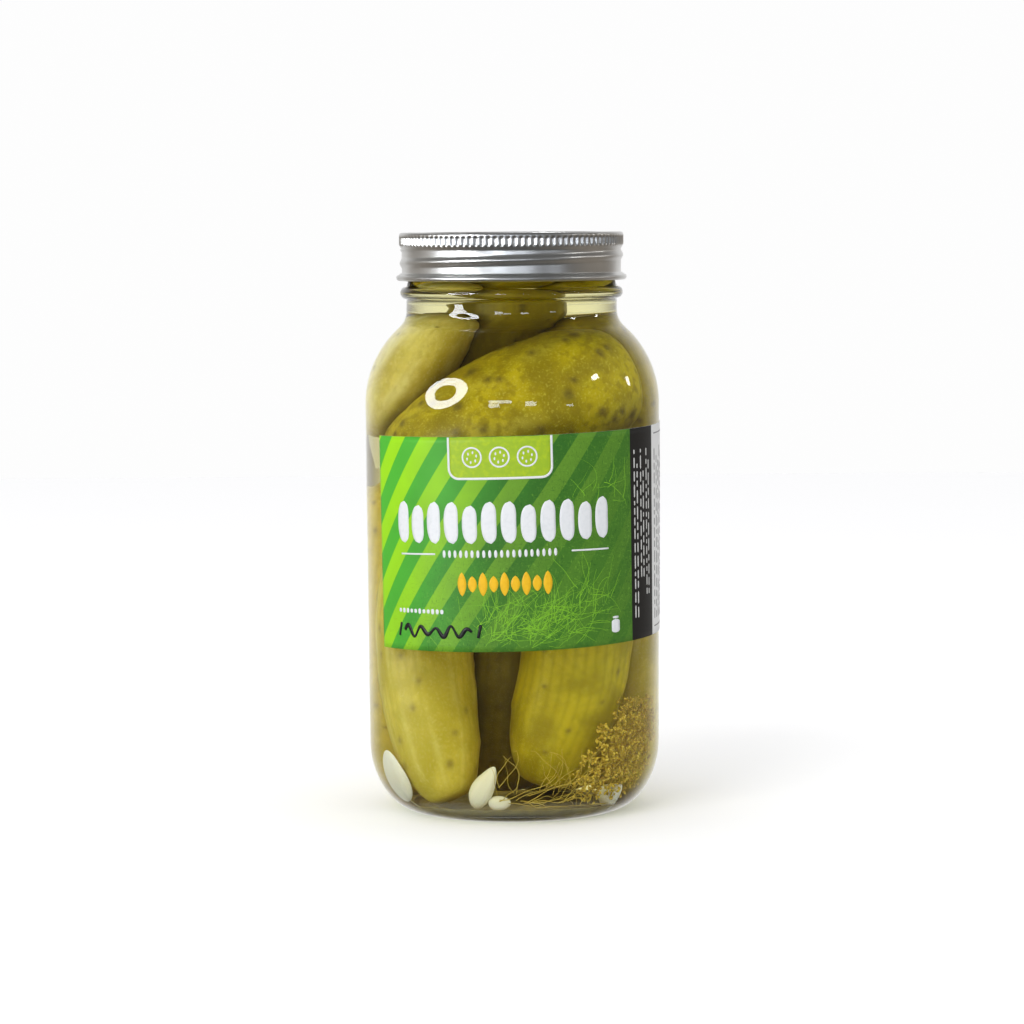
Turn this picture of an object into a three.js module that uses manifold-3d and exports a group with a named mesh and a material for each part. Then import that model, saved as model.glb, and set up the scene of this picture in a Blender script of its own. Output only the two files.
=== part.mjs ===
// A one litre preserving jar of dill pickles: a round clear glass jar with a screw band
// and a flat lid, a wrapped paper label, and the pickles, garlic and dill packed inside.
// Millimetres, +Z up, the label's front faces -Y. The origin is the middle of the base.

import * as THREE from 'three';
import { mergeVertices } from 'three/addons/utils/BufferGeometryUtils.js';
import Module from 'manifold-3d';

const wasm = await Module();
wasm.setup();

// Driving dimensions of the glass
const TURN_STEPS = 40;
const FOOT_RADIUS = 34.3;
const FOOT_INNER_RADIUS = 29.5;
const PUNT_HEIGHT = 1.4;
const HEEL_HEIGHT = 21.5;
const HEEL_POWER = 1.09;
const WALL_RADIUS_LOW = 48.2;
const WALL_RADIUS_HIGH = 48.67;
const SHOULDER_START = 134.3;
const SHOULDER_RADIUS = 34.0;
const SHOULDER_SWEEP = THREE.MathUtils.degToRad(48.2);
const NECK_RADIUS = 34.8;
const BEAD_HEIGHT = 171.05;
const BEAD_HALF = 2.05;
const BEAD_REACH = 2.0;
const THREAD_ROOT = 33.9;
const THREAD_REACH = 1.1;
const THREAD_START = 177.2;
const THREAD_PITCH = 5.08;
const THREAD_TURNS = 1.25;
const RIM_RADIUS = 33.2;
const RIM_HEIGHT = 188.7;
const MOUTH_RADIUS = 30.6;
const GLASS_WALL = 2.8;
const FLOOR_HEIGHT = 4.0;
const FLOOR_RISE = 0.5;
const INNER_HEEL_HEIGHT = 17.6;
const INNER_FLOOR_RADIUS = 27.0;

// Driving dimensions of the two-piece lid
const CURL_RADIUS = 37.1;
const CURL_TUBE = 0.95;
const CURL_HEIGHT = 176.0;
const BAND_GROOVE = 36.2;
const BAND_BULGE = 0.75;
const BAND_SHEET = 0.6;
const BAND_TOP = 190.8;
const BAND_CORNER = 1.0;
const BAND_OPENING = 30.9;
const KNURL_COUNT = 110;
const KNURL_RADIUS = 37.05;
const KNURL_DEPTH = 0.5;
const KNURL_LOW = 186.3;
const KNURL_HIGH = 189.9;
const DISC_RADIUS = 34.4;
const DISC_LOW = 189.0;
const DISC_HIGH = 189.8;

// Driving dimensions of the label: a 7 by 2 3/4 inch sheet, put on a little askew
const LABEL_LENGTH = 177.8;
const LABEL_HEIGHT = 69.0;
const LABEL_START = -52.9;
const LABEL_MIDDLE = 92.0;
const LABEL_TILT = THREE.MathUtils.degToRad(1.3);
const LABEL_GAP = 0.25;
const LABEL_THICKNESS = 0.25;
const LABEL_STEPS = 36;

// The pickles, from foot to head, with the middle of each pushed aside by its bow
const PICKLES = [
  { foot: [-18.1, -23.2, 8.2], head: [-17.5, -5.0, 99.0], bow: [-8.0, 3.0, 0.0], girth: 15.2 },
  { foot: [7.1, -16.0, 12.0], head: [20.7, -18.4, 114.5], bow: [5.8, -1.8, 0.0], girth: 16.1 },
  { foot: [25.8, 8.4, 6.4], head: [26.8, 6.9, 108.0], bow: [1.6, 1.0, 0.0], girth: 15.1 },
  { foot: [6.8, 26.9, 6.3], head: [6.9, 27.7, 106.3], bow: [1.0, 1.4, 0.0], girth: 14.9 },
  { foot: [-21.2, 20.3, 6.6], head: [-21.3, 17.2, 110.1], bow: [0.0, 1.4, 0.0], girth: 15.2 },
  { foot: [-3.5, 4.0, 8.7], head: [3.3, 1.5, 114.0], bow: [0.0, 0.0, 0.0], girth: 15.2 },
  { foot: [-34.4, -7.8, 110.2], head: [33.5, -5.0, 143.5], bow: [0.8, -9.6, 0.8], girth: 20.4 },
  { foot: [-33.4, 9.6, 124.0], head: [-11.6, -3.0, 161.0], bow: [-5.0, 1.0, 0.0], girth: 13.3 },
  { foot: [-19.4, 24.7, 116.5], head: [4.0, 6.0, 180.0], bow: [2.0, 2.0, 0.0], girth: 14.3 },
  { foot: [30.3, 12.2, 115.2], head: [13.0, 19.0, 159.0], bow: [0.0, 3.0, 1.0], girth: 14.6 },
];
const PICKLE_SIDES = 12;
const PICKLE_RINGS = 10;
const PICKLE_BLUNTNESS = 0.62;
const PICKLE_TAPER = 0.07;

// The garlic cloves that show at the bottom: where each stands, its tip, its size, and how
// much narrower it is at the tip. Their inner side is flatter.
const CLOVE_DRAW = 1.6;
const CLOVE_FLATNESS = 0.55;
const CLOVES = [
  { name: 'garlic_left', foot: [-32.1, -14.9, 7.2], tip: [-39.4, -19.7, 21.6], width: 7.8, depth: 2.6, taper: 0.28 },
  { name: 'garlic_middle', foot: [-12.4, -29.6, 6.6], tip: [-6.0, -35.6, 19.0], width: 4.1, depth: 2.6, taper: 0.5 },
  { name: 'garlic_slice', foot: [-8.0, -32.6, 7.8], tip: [-1.2, -33.6, 8.0], width: 2.1, depth: 1.3, taper: 0.2 },
  { name: 'garlic_right', foot: [24.1, -18.1, 7.6], tip: [32.2, -20.8, 11.2], width: 4.4, depth: 3.4, taper: 0.55 },
];

// The dill umbel that lies against the glass at the lower right
const UMBEL_BEARING = THREE.MathUtils.degToRad(57);
const UMBEL_HEIGHT = 21.4;
const UMBEL_RADIUS = 41.9;
const UMBEL_SPREAD = 17.5;
const UMBEL_LONG = 1.35;
const UMBEL_SHORT = 0.8;
const UMBEL_LEAN = THREE.MathUtils.degToRad(35);
const UMBEL_LOWEST = 8.2;
const UMBEL_HUB = 1.6;
const UMBEL_HUB_DEPTH = 3.2;
const UMBEL_HUB_DROP = 3.0;
const UMBEL_RAYS = 13;
const RAY_DEPTH = 0.8;
const RAY_THICKNESS = 0.55;
const SEED_LENGTH = 1.75;
const SEED_WIDTH = 1.3;
const SEEDS_PER_RAY = 5;
const SEED_OFFSET = 1.3;
const SEED_RIPPLE = 0.4;
const GOLDEN_ANGLE = Math.PI * (3 - Math.sqrt(5));
const CLEARANCE = 0.4;

// Points of an arc in the lathe's half plane, from one angle to another
function arc(x, z, radiusX, radiusZ, start, end, steps) {
  return Array.from({ length: steps + 1 }, (_, i) => {
    const angle = start + ((end - start) * i) / steps;
    return new THREE.Vector2(x + radiusX * Math.cos(angle), z + radiusZ * Math.sin(angle));
  });
}

// Points of the rounded heel, from the foot to the wall; a power above 1 flattens its ends
function heel(footRadius, footHeight, wallRadius, wallHeight, steps) {
  return Array.from({ length: steps + 1 }, (_, i) => {
    const angle = (Math.PI / 2) * (i / steps);
    return new THREE.Vector2(
      footRadius + (wallRadius - footRadius) * Math.sin(angle) ** HEEL_POWER,
      footHeight + (wallHeight - footHeight) * (1 - Math.cos(angle) ** HEEL_POWER),
    );
  });
}

// A closed solid of a geometry: seam and pole vertices merged, faces pointing outwards
function solid(geometry) {
  geometry.deleteAttribute('normal');
  geometry.deleteAttribute('uv');
  const source = geometry.index ? geometry : mergeVertices(geometry, 1e-4);
  const merged = mergeVertices(source, 1e-4);
  const place = merged.attributes.position;
  const index = merged.index.array;
  const kept = [];
  let volume = 0;
  const corner = [new THREE.Vector3(), new THREE.Vector3(), new THREE.Vector3()];
  for (let i = 0; i < index.length; i += 3) {
    const face = [index[i], index[i + 1], index[i + 2]];
    if (new Set(face).size < 3) continue;
    kept.push(...face);
    corner.forEach((point, k) => point.fromBufferAttribute(place, face[k]));
    volume += corner[0].dot(corner[1].clone().cross(corner[2]));
  }
  if (volume < 0) kept.reverse();
  merged.setIndex(kept);
  return merged;
}

// The same solid for joining and cutting
function toManifold(geometry) {
  const shape = solid(geometry);
  return new wasm.Manifold(new wasm.Mesh({
    numProp: 3,
    vertProperties: new Float32Array(shape.attributes.position.array),
    triVerts: new Uint32Array(shape.index.array),
  }));
}

// A geometry made from a joined solid
function fromManifold(manifold) {
  const mesh = manifold.getMesh();
  const geometry = new THREE.BufferGeometry();
  geometry.setAttribute('position', new THREE.BufferAttribute(new Float32Array(mesh.vertProperties), 3));
  geometry.setIndex(Array.from(mesh.triVerts));
  return geometry;
}

// All the geometries joined into one solid, without hollows sealed in and loose scraps
function join(geometries) {
  const parts = geometries.map(toManifold);
  const whole = parts.slice(1).reduce((sum, part) => sum.add(part), parts[0]);
  const bodies = whole.decompose().sort((one, other) => other.volume() - one.volume());
  return fromManifold(bodies[0]);
}

// A surface of revolution about +Z from points of radius and height
function turned(points, steps) {
  return new THREE.LatheGeometry(points, steps).rotateX(Math.PI / 2);
}

// Moves each vertex by a function that changes it in place
function reshape(geometry, change) {
  const place = geometry.attributes.position;
  const point = new THREE.Vector3();
  for (let i = 0; i < place.count; i += 1) {
    point.fromBufferAttribute(place, i);
    change(point);
    place.setXYZ(i, point.x, point.y, point.z);
  }
  return geometry;
}

// How far a right-handed thread stands out, from 0 to 1, at a place on the neck
function threadRise(point, start, turns, halfWidth) {
  const bearing = Math.atan2(point.y, point.x);
  const around = (bearing + 2 * Math.PI) % (2 * Math.PI);
  let rise = 0;
  for (let turn = 0; turn < Math.ceil(turns); turn += 1) {
    const along = turn + around / (2 * Math.PI);
    const fade = Math.min(1, along * 12, Math.max(0, turns - along) * 12);
    const off = Math.abs(point.z - start - along * THREAD_PITCH) / halfWidth;
    if (off < 1) rise = Math.max(rise, fade * 0.5 * (1 + Math.cos(Math.PI * off)));
  }
  return rise;
}

// Outline of the jar's outside at a height, for what is wrapped round its wall
function wallRadius(height) {
  const along = (height - HEEL_HEIGHT) / (SHOULDER_START - HEEL_HEIGHT);
  return THREE.MathUtils.lerp(WALL_RADIUS_LOW, WALL_RADIUS_HIGH, THREE.MathUtils.clamp(along, 0, 1));
}

// Radius of the jar's inside at a height below the shoulder
function innerRadius(height) {
  const floor = FLOOR_HEIGHT + FLOOR_RISE;
  const part = THREE.MathUtils.clamp((height - floor) / (INNER_HEEL_HEIGHT - floor), 0, 1);
  const angle = Math.acos((1 - part) ** (1 / HEEL_POWER));
  return THREE.MathUtils.lerp(INNER_FLOOR_RADIUS, WALL_RADIUS_LOW - GLASS_WALL, Math.sin(angle) ** HEEL_POWER);
}

// The glass: foot ring and punt, heel, wall, shoulder, neck bead and thread, rim, inside
function glassGeometry() {
  const shoulderCentre = WALL_RADIUS_HIGH - SHOULDER_RADIUS;
  const shoulderEnd = shoulderCentre + SHOULDER_RADIUS * Math.cos(SHOULDER_SWEEP);
  const fillet = (shoulderEnd - NECK_RADIUS) / (1 - Math.cos(SHOULDER_SWEEP));
  const filletHeight = SHOULDER_START + (SHOULDER_RADIUS + fillet) * Math.sin(SHOULDER_SWEEP);
  const innerShoulder = SHOULDER_RADIUS - GLASS_WALL;
  const innerSweep = Math.acos((MOUTH_RADIUS + 1 - shoulderCentre) / innerShoulder);
  const threadTop = THREAD_START + THREAD_PITCH * THREAD_TURNS;
  const threadRows = Array.from({ length: 7 }, (_, i) => (
    new THREE.Vector2(THREAD_ROOT, THREAD_START - 1.1 + ((threadTop + 2.2 - THREAD_START) * i) / 6)
  ));
  const outline = [
    new THREE.Vector2(0, PUNT_HEIGHT),
    new THREE.Vector2(FOOT_INNER_RADIUS * 0.8, PUNT_HEIGHT * 0.75),
    new THREE.Vector2(FOOT_INNER_RADIUS, 0),
    ...heel(FOOT_RADIUS, 0, WALL_RADIUS_LOW, HEEL_HEIGHT, 6),
    ...arc(shoulderCentre, SHOULDER_START, SHOULDER_RADIUS, SHOULDER_RADIUS, 0, SHOULDER_SWEEP, 5),
    ...arc(NECK_RADIUS + fillet, filletHeight, fillet, fillet, Math.PI + SHOULDER_SWEEP, Math.PI, 2).slice(1),
    ...arc(NECK_RADIUS, BEAD_HEIGHT, BEAD_REACH, BEAD_HALF, -Math.PI / 2, Math.PI / 2, 4),
    ...threadRows,
    new THREE.Vector2(RIM_RADIUS, RIM_HEIGHT - 0.8),
    new THREE.Vector2(RIM_RADIUS - 0.8, RIM_HEIGHT),
    new THREE.Vector2(MOUTH_RADIUS + 0.6, RIM_HEIGHT),
    new THREE.Vector2(MOUTH_RADIUS, RIM_HEIGHT - 0.6),
    new THREE.Vector2(MOUTH_RADIUS, filletHeight + 1),
    ...arc(shoulderCentre, SHOULDER_START, innerShoulder, innerShoulder, innerSweep, 0, 4),
    ...heel(INNER_FLOOR_RADIUS, FLOOR_HEIGHT + FLOOR_RISE, WALL_RADIUS_LOW - GLASS_WALL, INNER_HEEL_HEIGHT, 4).reverse(),
    new THREE.Vector2(0, FLOOR_HEIGHT),
  ];
  return solid(reshape(turned(outline, TURN_STEPS), (point) => {
    const radius = Math.hypot(point.x, point.y);
    if (Math.abs(radius - THREAD_ROOT) > 1e-3 || point.z < THREAD_START - 2) return;
    const scale = 1 + (THREAD_REACH * threadRise(point, THREAD_START, THREAD_TURNS, 1.3)) / radius;
    point.x *= scale;
    point.y *= scale;
  }));
}

// The screw band: rolled curl at the bottom, thread pressed into the skirt, a knurled
// rim, and a top flange left open in the middle
function bandGeometry() {
  const inner = BAND_GROOVE - BAND_SHEET;
  const rows = Array.from({ length: 8 }, (_, i) => (
    new THREE.Vector2(BAND_GROOVE, CURL_HEIGHT + 1.6 + ((KNURL_LOW - 0.9 - CURL_HEIGHT - 1.6) * i) / 7)
  ));
  const outline = [
    new THREE.Vector2(inner, CURL_HEIGHT - CURL_TUBE * 0.8),
    ...arc(CURL_RADIUS, CURL_HEIGHT, CURL_TUBE, CURL_TUBE, -Math.PI * 0.6, Math.PI * 0.45, 4),
    ...rows,
    new THREE.Vector2(BAND_GROOVE + 0.3, KNURL_LOW + 0.2),
    ...arc(KNURL_RADIUS - KNURL_DEPTH - BAND_CORNER, BAND_TOP - BAND_CORNER, BAND_CORNER, BAND_CORNER, 0, Math.PI / 2, 2),
    new THREE.Vector2(BAND_OPENING, BAND_TOP),
    new THREE.Vector2(BAND_OPENING, BAND_TOP - BAND_SHEET),
    new THREE.Vector2(inner - 0.6, BAND_TOP - BAND_SHEET),
    new THREE.Vector2(inner, BAND_TOP - BAND_SHEET - 0.6),
  ];
  outline.push(outline[0].clone());
  const skirt = reshape(turned(outline, TURN_STEPS), (point) => {
    const radius = Math.hypot(point.x, point.y);
    if (Math.abs(radius - BAND_GROOVE) > 1e-3) return;
    const scale = 1 + (BAND_BULGE * threadRise(point, CURL_HEIGHT + 2.2, 1.6, 1.9)) / radius;
    point.x *= scale;
    point.y *= scale;
  });
  const teeth = new THREE.Shape(Array.from({ length: 2 * KNURL_COUNT }, (_, i) => {
    const angle = (Math.PI * i) / KNURL_COUNT;
    const radius = i % 2 ? KNURL_RADIUS - KNURL_DEPTH : KNURL_RADIUS;
    return new THREE.Vector2(radius * Math.cos(angle), radius * Math.sin(angle));
  }));
  teeth.holes.push(new THREE.Path().absarc(0, 0, BAND_GROOVE - 0.3, 0, 2 * Math.PI));
  const knurl = new THREE.ExtrudeGeometry(teeth, { depth: KNURL_HIGH - KNURL_LOW, bevelEnabled: false, curveSegments: 24 });
  return join([skirt, knurl.translate(0, 0, KNURL_LOW)]);
}

// The flat lid under the band, with its shallow pressed ring and raised panel
function discGeometry() {
  const sheet = DISC_HIGH - DISC_LOW;
  return solid(turned([
    new THREE.Vector2(0, DISC_LOW),
    new THREE.Vector2(DISC_RADIUS, DISC_LOW),
    new THREE.Vector2(DISC_RADIUS, DISC_HIGH),
    new THREE.Vector2(BAND_OPENING - 1, DISC_HIGH),
    new THREE.Vector2(BAND_OPENING - 2.2, DISC_HIGH - sheet / 2),
    new THREE.Vector2(BAND_OPENING - 4, DISC_HIGH - sheet / 2),
    new THREE.Vector2(BAND_OPENING - 5, DISC_HIGH + sheet / 4),
    new THREE.Vector2(0, DISC_HIGH + sheet / 4),
  ], TURN_STEPS));
}

// The label: a sheet of paper bent round the wall, turned by its tilt about its middle
function labelGeometry() {
  const sheet = new THREE.BoxGeometry(LABEL_LENGTH, LABEL_THICKNESS, LABEL_HEIGHT, LABEL_STEPS, 1, 1);
  const reach = WALL_RADIUS_HIGH + LABEL_GAP + LABEL_THICKNESS;
  return solid(reshape(sheet, (point) => {
    const along = LABEL_START + LABEL_LENGTH / 2 + point.x;
    const height = LABEL_MIDDLE + point.z * Math.cos(LABEL_TILT) + along * Math.sin(LABEL_TILT);
    const bearing = (along * Math.cos(LABEL_TILT) - point.z * Math.sin(LABEL_TILT)) / reach;
    const radius = wallRadius(height) + LABEL_GAP + LABEL_THICKNESS / 2 - point.y;
    point.set(radius * Math.sin(bearing), -radius * Math.cos(bearing), height);
  }));
}

// The middle line of a pickle, from foot to head
function pickleAxis(pickle) {
  const foot = new THREE.Vector3(...pickle.foot);
  const head = new THREE.Vector3(...pickle.head);
  const middle = foot.clone().add(head).multiplyScalar(0.5).addScaledVector(new THREE.Vector3(...pickle.bow), 2);
  return new THREE.QuadraticBezierCurve3(foot, middle, head);
}

// Radius of a pickle at a part of its length: blunt ends and a slight taper
function pickleRadius(pickle, along) {
  const across = Math.sqrt(Math.max(0, 1 - (2 * along - 1) ** 2));
  return pickle.girth * across ** PICKLE_BLUNTNESS * (1 + PICKLE_TAPER * (1 - 2 * along));
}

// A pickle: a sphere drawn out along its bent middle line
function pickleGeometry(pickle) {
  const axis = pickleAxis(pickle);
  const ball = new THREE.SphereGeometry(1, PICKLE_SIDES, PICKLE_RINGS);
  return reshape(ball, (point) => {
    const along = THREE.MathUtils.clamp((point.y + 1) / 2, 0, 1);
    const spread = Math.hypot(point.x, point.z);
    const direction = axis.getTangent(along);
    const side = new THREE.Vector3(0, 1, 0).cross(direction).normalize();
    const other = direction.clone().cross(side);
    const radius = spread > 1e-6 ? pickleRadius(pickle, along) / spread : 0;
    const centre = axis.getPoint(along);
    point.set(
      centre.x + radius * (point.x * side.x + point.z * other.x),
      centre.y + radius * (point.x * side.y + point.z * other.y),
      centre.z + radius * (point.x * side.z + point.z * other.z),
    );
  });
}

// Free distance from a place to the nearest pickle or garlic clove
function clearOfFilling(place) {
  let free = Infinity;
  for (const clove of CLOVES) {
    const axis = new THREE.Line3(new THREE.Vector3(...clove.foot), new THREE.Vector3(...clove.tip));
    const nearest = axis.closestPointToPoint(place, true, new THREE.Vector3());
    free = Math.min(free, nearest.distanceTo(place) - clove.width);
  }
  for (const pickle of PICKLES) {
    const axis = pickleAxis(pickle);
    for (let step = 0; step <= 40; step += 1) {
      const gap = axis.getPoint(step / 40).distanceTo(place) - pickleRadius(pickle, step / 40);
      free = Math.min(free, gap);
    }
  }
  return free;
}

// A garlic clove: plump at the foot, drawn in to a point, flat on its inner side
function cloveGeometry(clove) {
  const foot = new THREE.Vector3(...clove.foot);
  const tip = new THREE.Vector3(...clove.tip);
  const direction = tip.clone().sub(foot).normalize();
  const outward = new THREE.Vector3(foot.x, foot.y, 0).normalize();
  const across = direction.clone().cross(outward).normalize();
  const deep = across.clone().cross(direction).negate();
  return solid(reshape(new THREE.SphereGeometry(1, 10, 8), (point) => {
    const along = (point.y + 1) / 2;
    const draw = 1 - clove.taper * along ** CLOVE_DRAW;
    const flat = point.z < 0 ? CLOVE_FLATNESS : 1;
    const place = foot.clone().lerp(tip, along);
    place.addScaledVector(across, point.x * clove.width * draw);
    place.addScaledVector(deep, point.z * flat * clove.depth * draw);
    point.copy(place);
  }));
}

// A place in the umbel: so far along the wall and up from its middle, and so far inwards
function umbelPlace(sideways, upwards, inwards) {
  const bearing = UMBEL_BEARING + sideways / UMBEL_RADIUS;
  const height = UMBEL_HEIGHT + upwards;
  const radius = Math.min(UMBEL_RADIUS, innerRadius(height) - SEED_LENGTH - 4 * CLEARANCE) - inwards;
  return new THREE.Vector3(radius * Math.sin(bearing), -radius * Math.cos(bearing), height);
}

// A thin straight stalk from one place to another
function stalkGeometry(start, end, thickness) {
  const path = new THREE.LineCurve3(start, end);
  const section = new THREE.Shape(new THREE.Path().absarc(0, 0, thickness, 0, 2 * Math.PI).getPoints(2));
  return new THREE.ExtrudeGeometry(section, { steps: 1, extrudePath: path, bevelEnabled: false });
}

// Where a ray of the umbel ends: an oval that leans up to the right
function umbelEnd(reach, turn) {
  const end = new THREE.Vector2(UMBEL_LONG * reach * Math.cos(turn), UMBEL_SHORT * reach * Math.sin(turn));
  return end.rotateAround(new THREE.Vector2(), UMBEL_LEAN);
}

// The dill umbel: rays from one hub, spread by the golden angle, each with its seeds
function umbelGeometry() {
  const hub = umbelPlace(0, -UMBEL_HUB_DROP, UMBEL_HUB_DEPTH);
  const parts = [new THREE.IcosahedronGeometry(UMBEL_HUB, 0).translate(hub.x, hub.y, hub.z)];
  for (let ray = 0; ray < UMBEL_RAYS; ray += 1) {
    const flat = umbelEnd(UMBEL_SPREAD * Math.sqrt((ray + 0.6) / UMBEL_RAYS), ray * GOLDEN_ANGLE);
    const end = umbelPlace(flat.x, flat.y, RAY_DEPTH);
    const free = Math.min(clearOfFilling(end) - SEED_LENGTH, clearOfFilling(hub.clone().lerp(end, 0.6)));
    if (end.z < UMBEL_LOWEST || free < RAY_THICKNESS + CLEARANCE) continue;
    parts.push(stalkGeometry(hub, end, RAY_THICKNESS));
    for (let seed = 0; seed < SEEDS_PER_RAY; seed += 1) {
      const lean = seed * GOLDEN_ANGLE + ray;
      const spot = umbelPlace(
        flat.x + SEED_OFFSET * Math.cos(lean),
        flat.y + SEED_OFFSET * Math.sin(lean),
        RAY_DEPTH + SEED_RIPPLE * Math.sin(3 * lean),
      );
      if (clearOfFilling(spot) < SEED_LENGTH + CLEARANCE || spot.z < UMBEL_LOWEST) continue;
      const grain = new THREE.IcosahedronGeometry(1, 0).scale(SEED_LENGTH, SEED_WIDTH, SEED_WIDTH);
      parts.push(grain.rotateZ(lean).rotateY(seed + ray).translate(spot.x, spot.y, spot.z));
    }
  }
  return join(parts);
}

// Adds a named mesh to the object
function piece(group, name, geometry, color, roughness, metalness, extra = {}) {
  const material = new THREE.MeshStandardMaterial({ color, roughness, metalness, ...extra });
  const mesh = new THREE.Mesh(geometry, material);
  mesh.name = name;
  group.add(mesh);
}

const jar = new THREE.Group();
piece(jar, 'glass_jar', glassGeometry(), 0xe6ece4, 0.03, 0, { transparent: true, opacity: 0.3 });
piece(jar, 'screw_band', bandGeometry(), 0xb9bcbe, 0.3, 0.9);
piece(jar, 'lid_disc', discGeometry(), 0xc9cbcc, 0.3, 0.85);
piece(jar, 'label', labelGeometry(), 0x4f9a3a, 0.5, 0);
piece(jar, 'pickles', join(PICKLES.map(pickleGeometry)), 0x8f8a1e, 0.45, 0);
for (const clove of CLOVES) piece(jar, clove.name, cloveGeometry(clove), 0xe4dec4, 0.4, 0);
piece(jar, 'dill_head', umbelGeometry(), 0x9a7a1e, 0.7, 0);

export default jar;
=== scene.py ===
"""A one litre jar of dill pickles: clear glass, two-piece screw lid, paper label, pickles,
garlic, a dill head and brine. Sizes are in millimetres in every class, and each mesh is
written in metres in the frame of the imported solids. The label's front faces -Y."""

import logging
import math
from dataclasses import dataclass, field
from enum import Enum
from typing import Sequence

import bpy
import numpy as np
from mathutils import Matrix, Vector


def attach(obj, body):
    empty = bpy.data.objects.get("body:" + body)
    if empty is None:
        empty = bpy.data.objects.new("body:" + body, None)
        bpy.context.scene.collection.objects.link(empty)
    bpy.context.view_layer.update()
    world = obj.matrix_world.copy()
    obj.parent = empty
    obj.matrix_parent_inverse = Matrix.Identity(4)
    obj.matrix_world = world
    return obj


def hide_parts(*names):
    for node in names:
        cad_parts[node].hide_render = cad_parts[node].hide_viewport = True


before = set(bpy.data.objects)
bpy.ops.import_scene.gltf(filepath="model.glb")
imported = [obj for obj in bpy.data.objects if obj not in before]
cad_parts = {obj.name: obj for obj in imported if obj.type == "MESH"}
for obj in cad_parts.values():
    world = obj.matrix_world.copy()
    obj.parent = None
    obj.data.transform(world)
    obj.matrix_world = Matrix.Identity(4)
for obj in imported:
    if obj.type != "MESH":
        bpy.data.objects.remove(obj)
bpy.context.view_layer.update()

LOG = logging.getLogger("pickle_jar")
MM = 0.001
BODY = "root"
PHOTO_SIDE = 1024
FULL_TURN = 2.0 * math.pi
GOLDEN_ANGLE = math.pi * (3.0 - math.sqrt(5.0))
NEAR = 1e-6  # closer than this, in mm, is the same place
SHORTEST = 1e-9  # no vector is divided by less than this
STEEP = 0.7  # a path that rises more than this for each mm along it is steep
THREAD_FADES = 12.0  # a thread fades in and out over a twelfth of a turn
Colour = tuple[float, float, float]
Place = tuple[float, float, float]
Range = tuple[float, float]
Socket = bpy.types.NodeSocket
WHITE: Colour = (1.0, 1.0, 1.0)


class Ends(Enum):
    """How a stack of rings ends: drawn together to a pole, or joined first to last."""

    POLES = "poles"
    LOOP = "loop"


# Shapes


def smooth_step(value: np.ndarray, low: float, high: float) -> np.ndarray:
    """Rises from 0 at low to 1 at high as 3t^2 - 2t^3."""
    part = np.clip((value - low) / (high - low), 0.0, 1.0)
    return part * part * (3.0 - 2.0 * part)


def unit(vectors: np.ndarray) -> np.ndarray:
    """Each vector divided by its length."""
    return vectors / np.maximum(np.linalg.norm(vectors, axis=-1, keepdims=True), SHORTEST)


def stacked(*parts: np.ndarray | float) -> np.ndarray:
    """Coordinates, stretched to one common shape, side by side along a new last axis."""
    return np.stack(np.broadcast_arrays(*parts), axis=-1)


def around(count: int) -> np.ndarray:
    """Angles of so many places once round, the first at 0."""
    return np.linspace(0.0, FULL_TURN, count, endpoint=False)


def lumps(points: np.ndarray, wavelength: float, seed: int, waves: int = 9) -> np.ndarray:
    """Gentle unevenness between about -1 and 1: a sum of sine waves in random directions.

    Args:
        points: Places in mm, with x, y and z last.
        wavelength: The shortest distance between two crests, in mm.
        seed: Seed of the directions and phases.
        waves: How many waves are added.

    Returns:
        One height for each place.
    """
    draw = np.random.default_rng(seed)
    heading = unit(draw.normal(size=(waves, 3)))
    number = FULL_TURN / (wavelength * draw.uniform(1.0, 2.2, waves))
    phase = draw.uniform(0.0, FULL_TURN, waves)
    return np.sin(points @ (heading * number[:, None]).T + phase).sum(-1) / math.sqrt(waves)


def arc(
    x: float, z: float, reach: float | Sequence[float], turn: Sequence[float], steps: int
) -> np.ndarray:
    """Points of a round or elliptic arc in the half plane of radius and height.

    Args:
        x: Radius at the middle of the arc, in mm.
        z: Height of its middle, in mm.
        reach: Its radius, or its half axes along the radius and the height, in mm.
        turn: First and last angle, in degrees, 0 pointing outwards and 90 up.
        steps: How many segments.

    Returns:
        An array of radius and height.
    """
    across, up = np.broadcast_to(reach, 2)
    angle = np.radians(np.linspace(turn[0], turn[1], steps + 1))
    return stacked(x + across * np.cos(angle), z + up * np.sin(angle))


def straight(start: Sequence[float], end: Sequence[float], steps: int) -> np.ndarray:
    """Points of a straight stretch, without its first point."""
    part = np.linspace(0.0, 1.0, steps + 1)[1:, None]
    return np.asarray(start) * (1.0 - part) + np.asarray(end) * part


def turned(profile: np.ndarray, steps: int) -> np.ndarray:
    """A profile of radius r and height z carried once round +Z: (r cos a, r sin a, z).

    Args:
        profile: Radius and height, point by point, in mm.
        steps: Places round each ring.

    Returns:
        Points as ring, place round the ring, and x, y, z.
    """
    angle = around(steps)
    radius, height = profile[:, 0, None], profile[:, 1, None]
    return stacked(radius * np.cos(angle), radius * np.sin(angle), height)


def pushed(rings: np.ndarray, rise: np.ndarray) -> np.ndarray:
    """Rings moved away from the +Z axis: the new radius is the old one plus the rise.

    Args:
        rings: Points in mm.
        rise: How far each point moves outwards, in mm.

    Returns:
        The moved points.
    """
    radius = np.maximum(np.hypot(rings[..., 0], rings[..., 1]), NEAR)
    moved = rings.copy()
    moved[..., :2] *= (1.0 + rise / radius)[..., None]
    return moved


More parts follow.
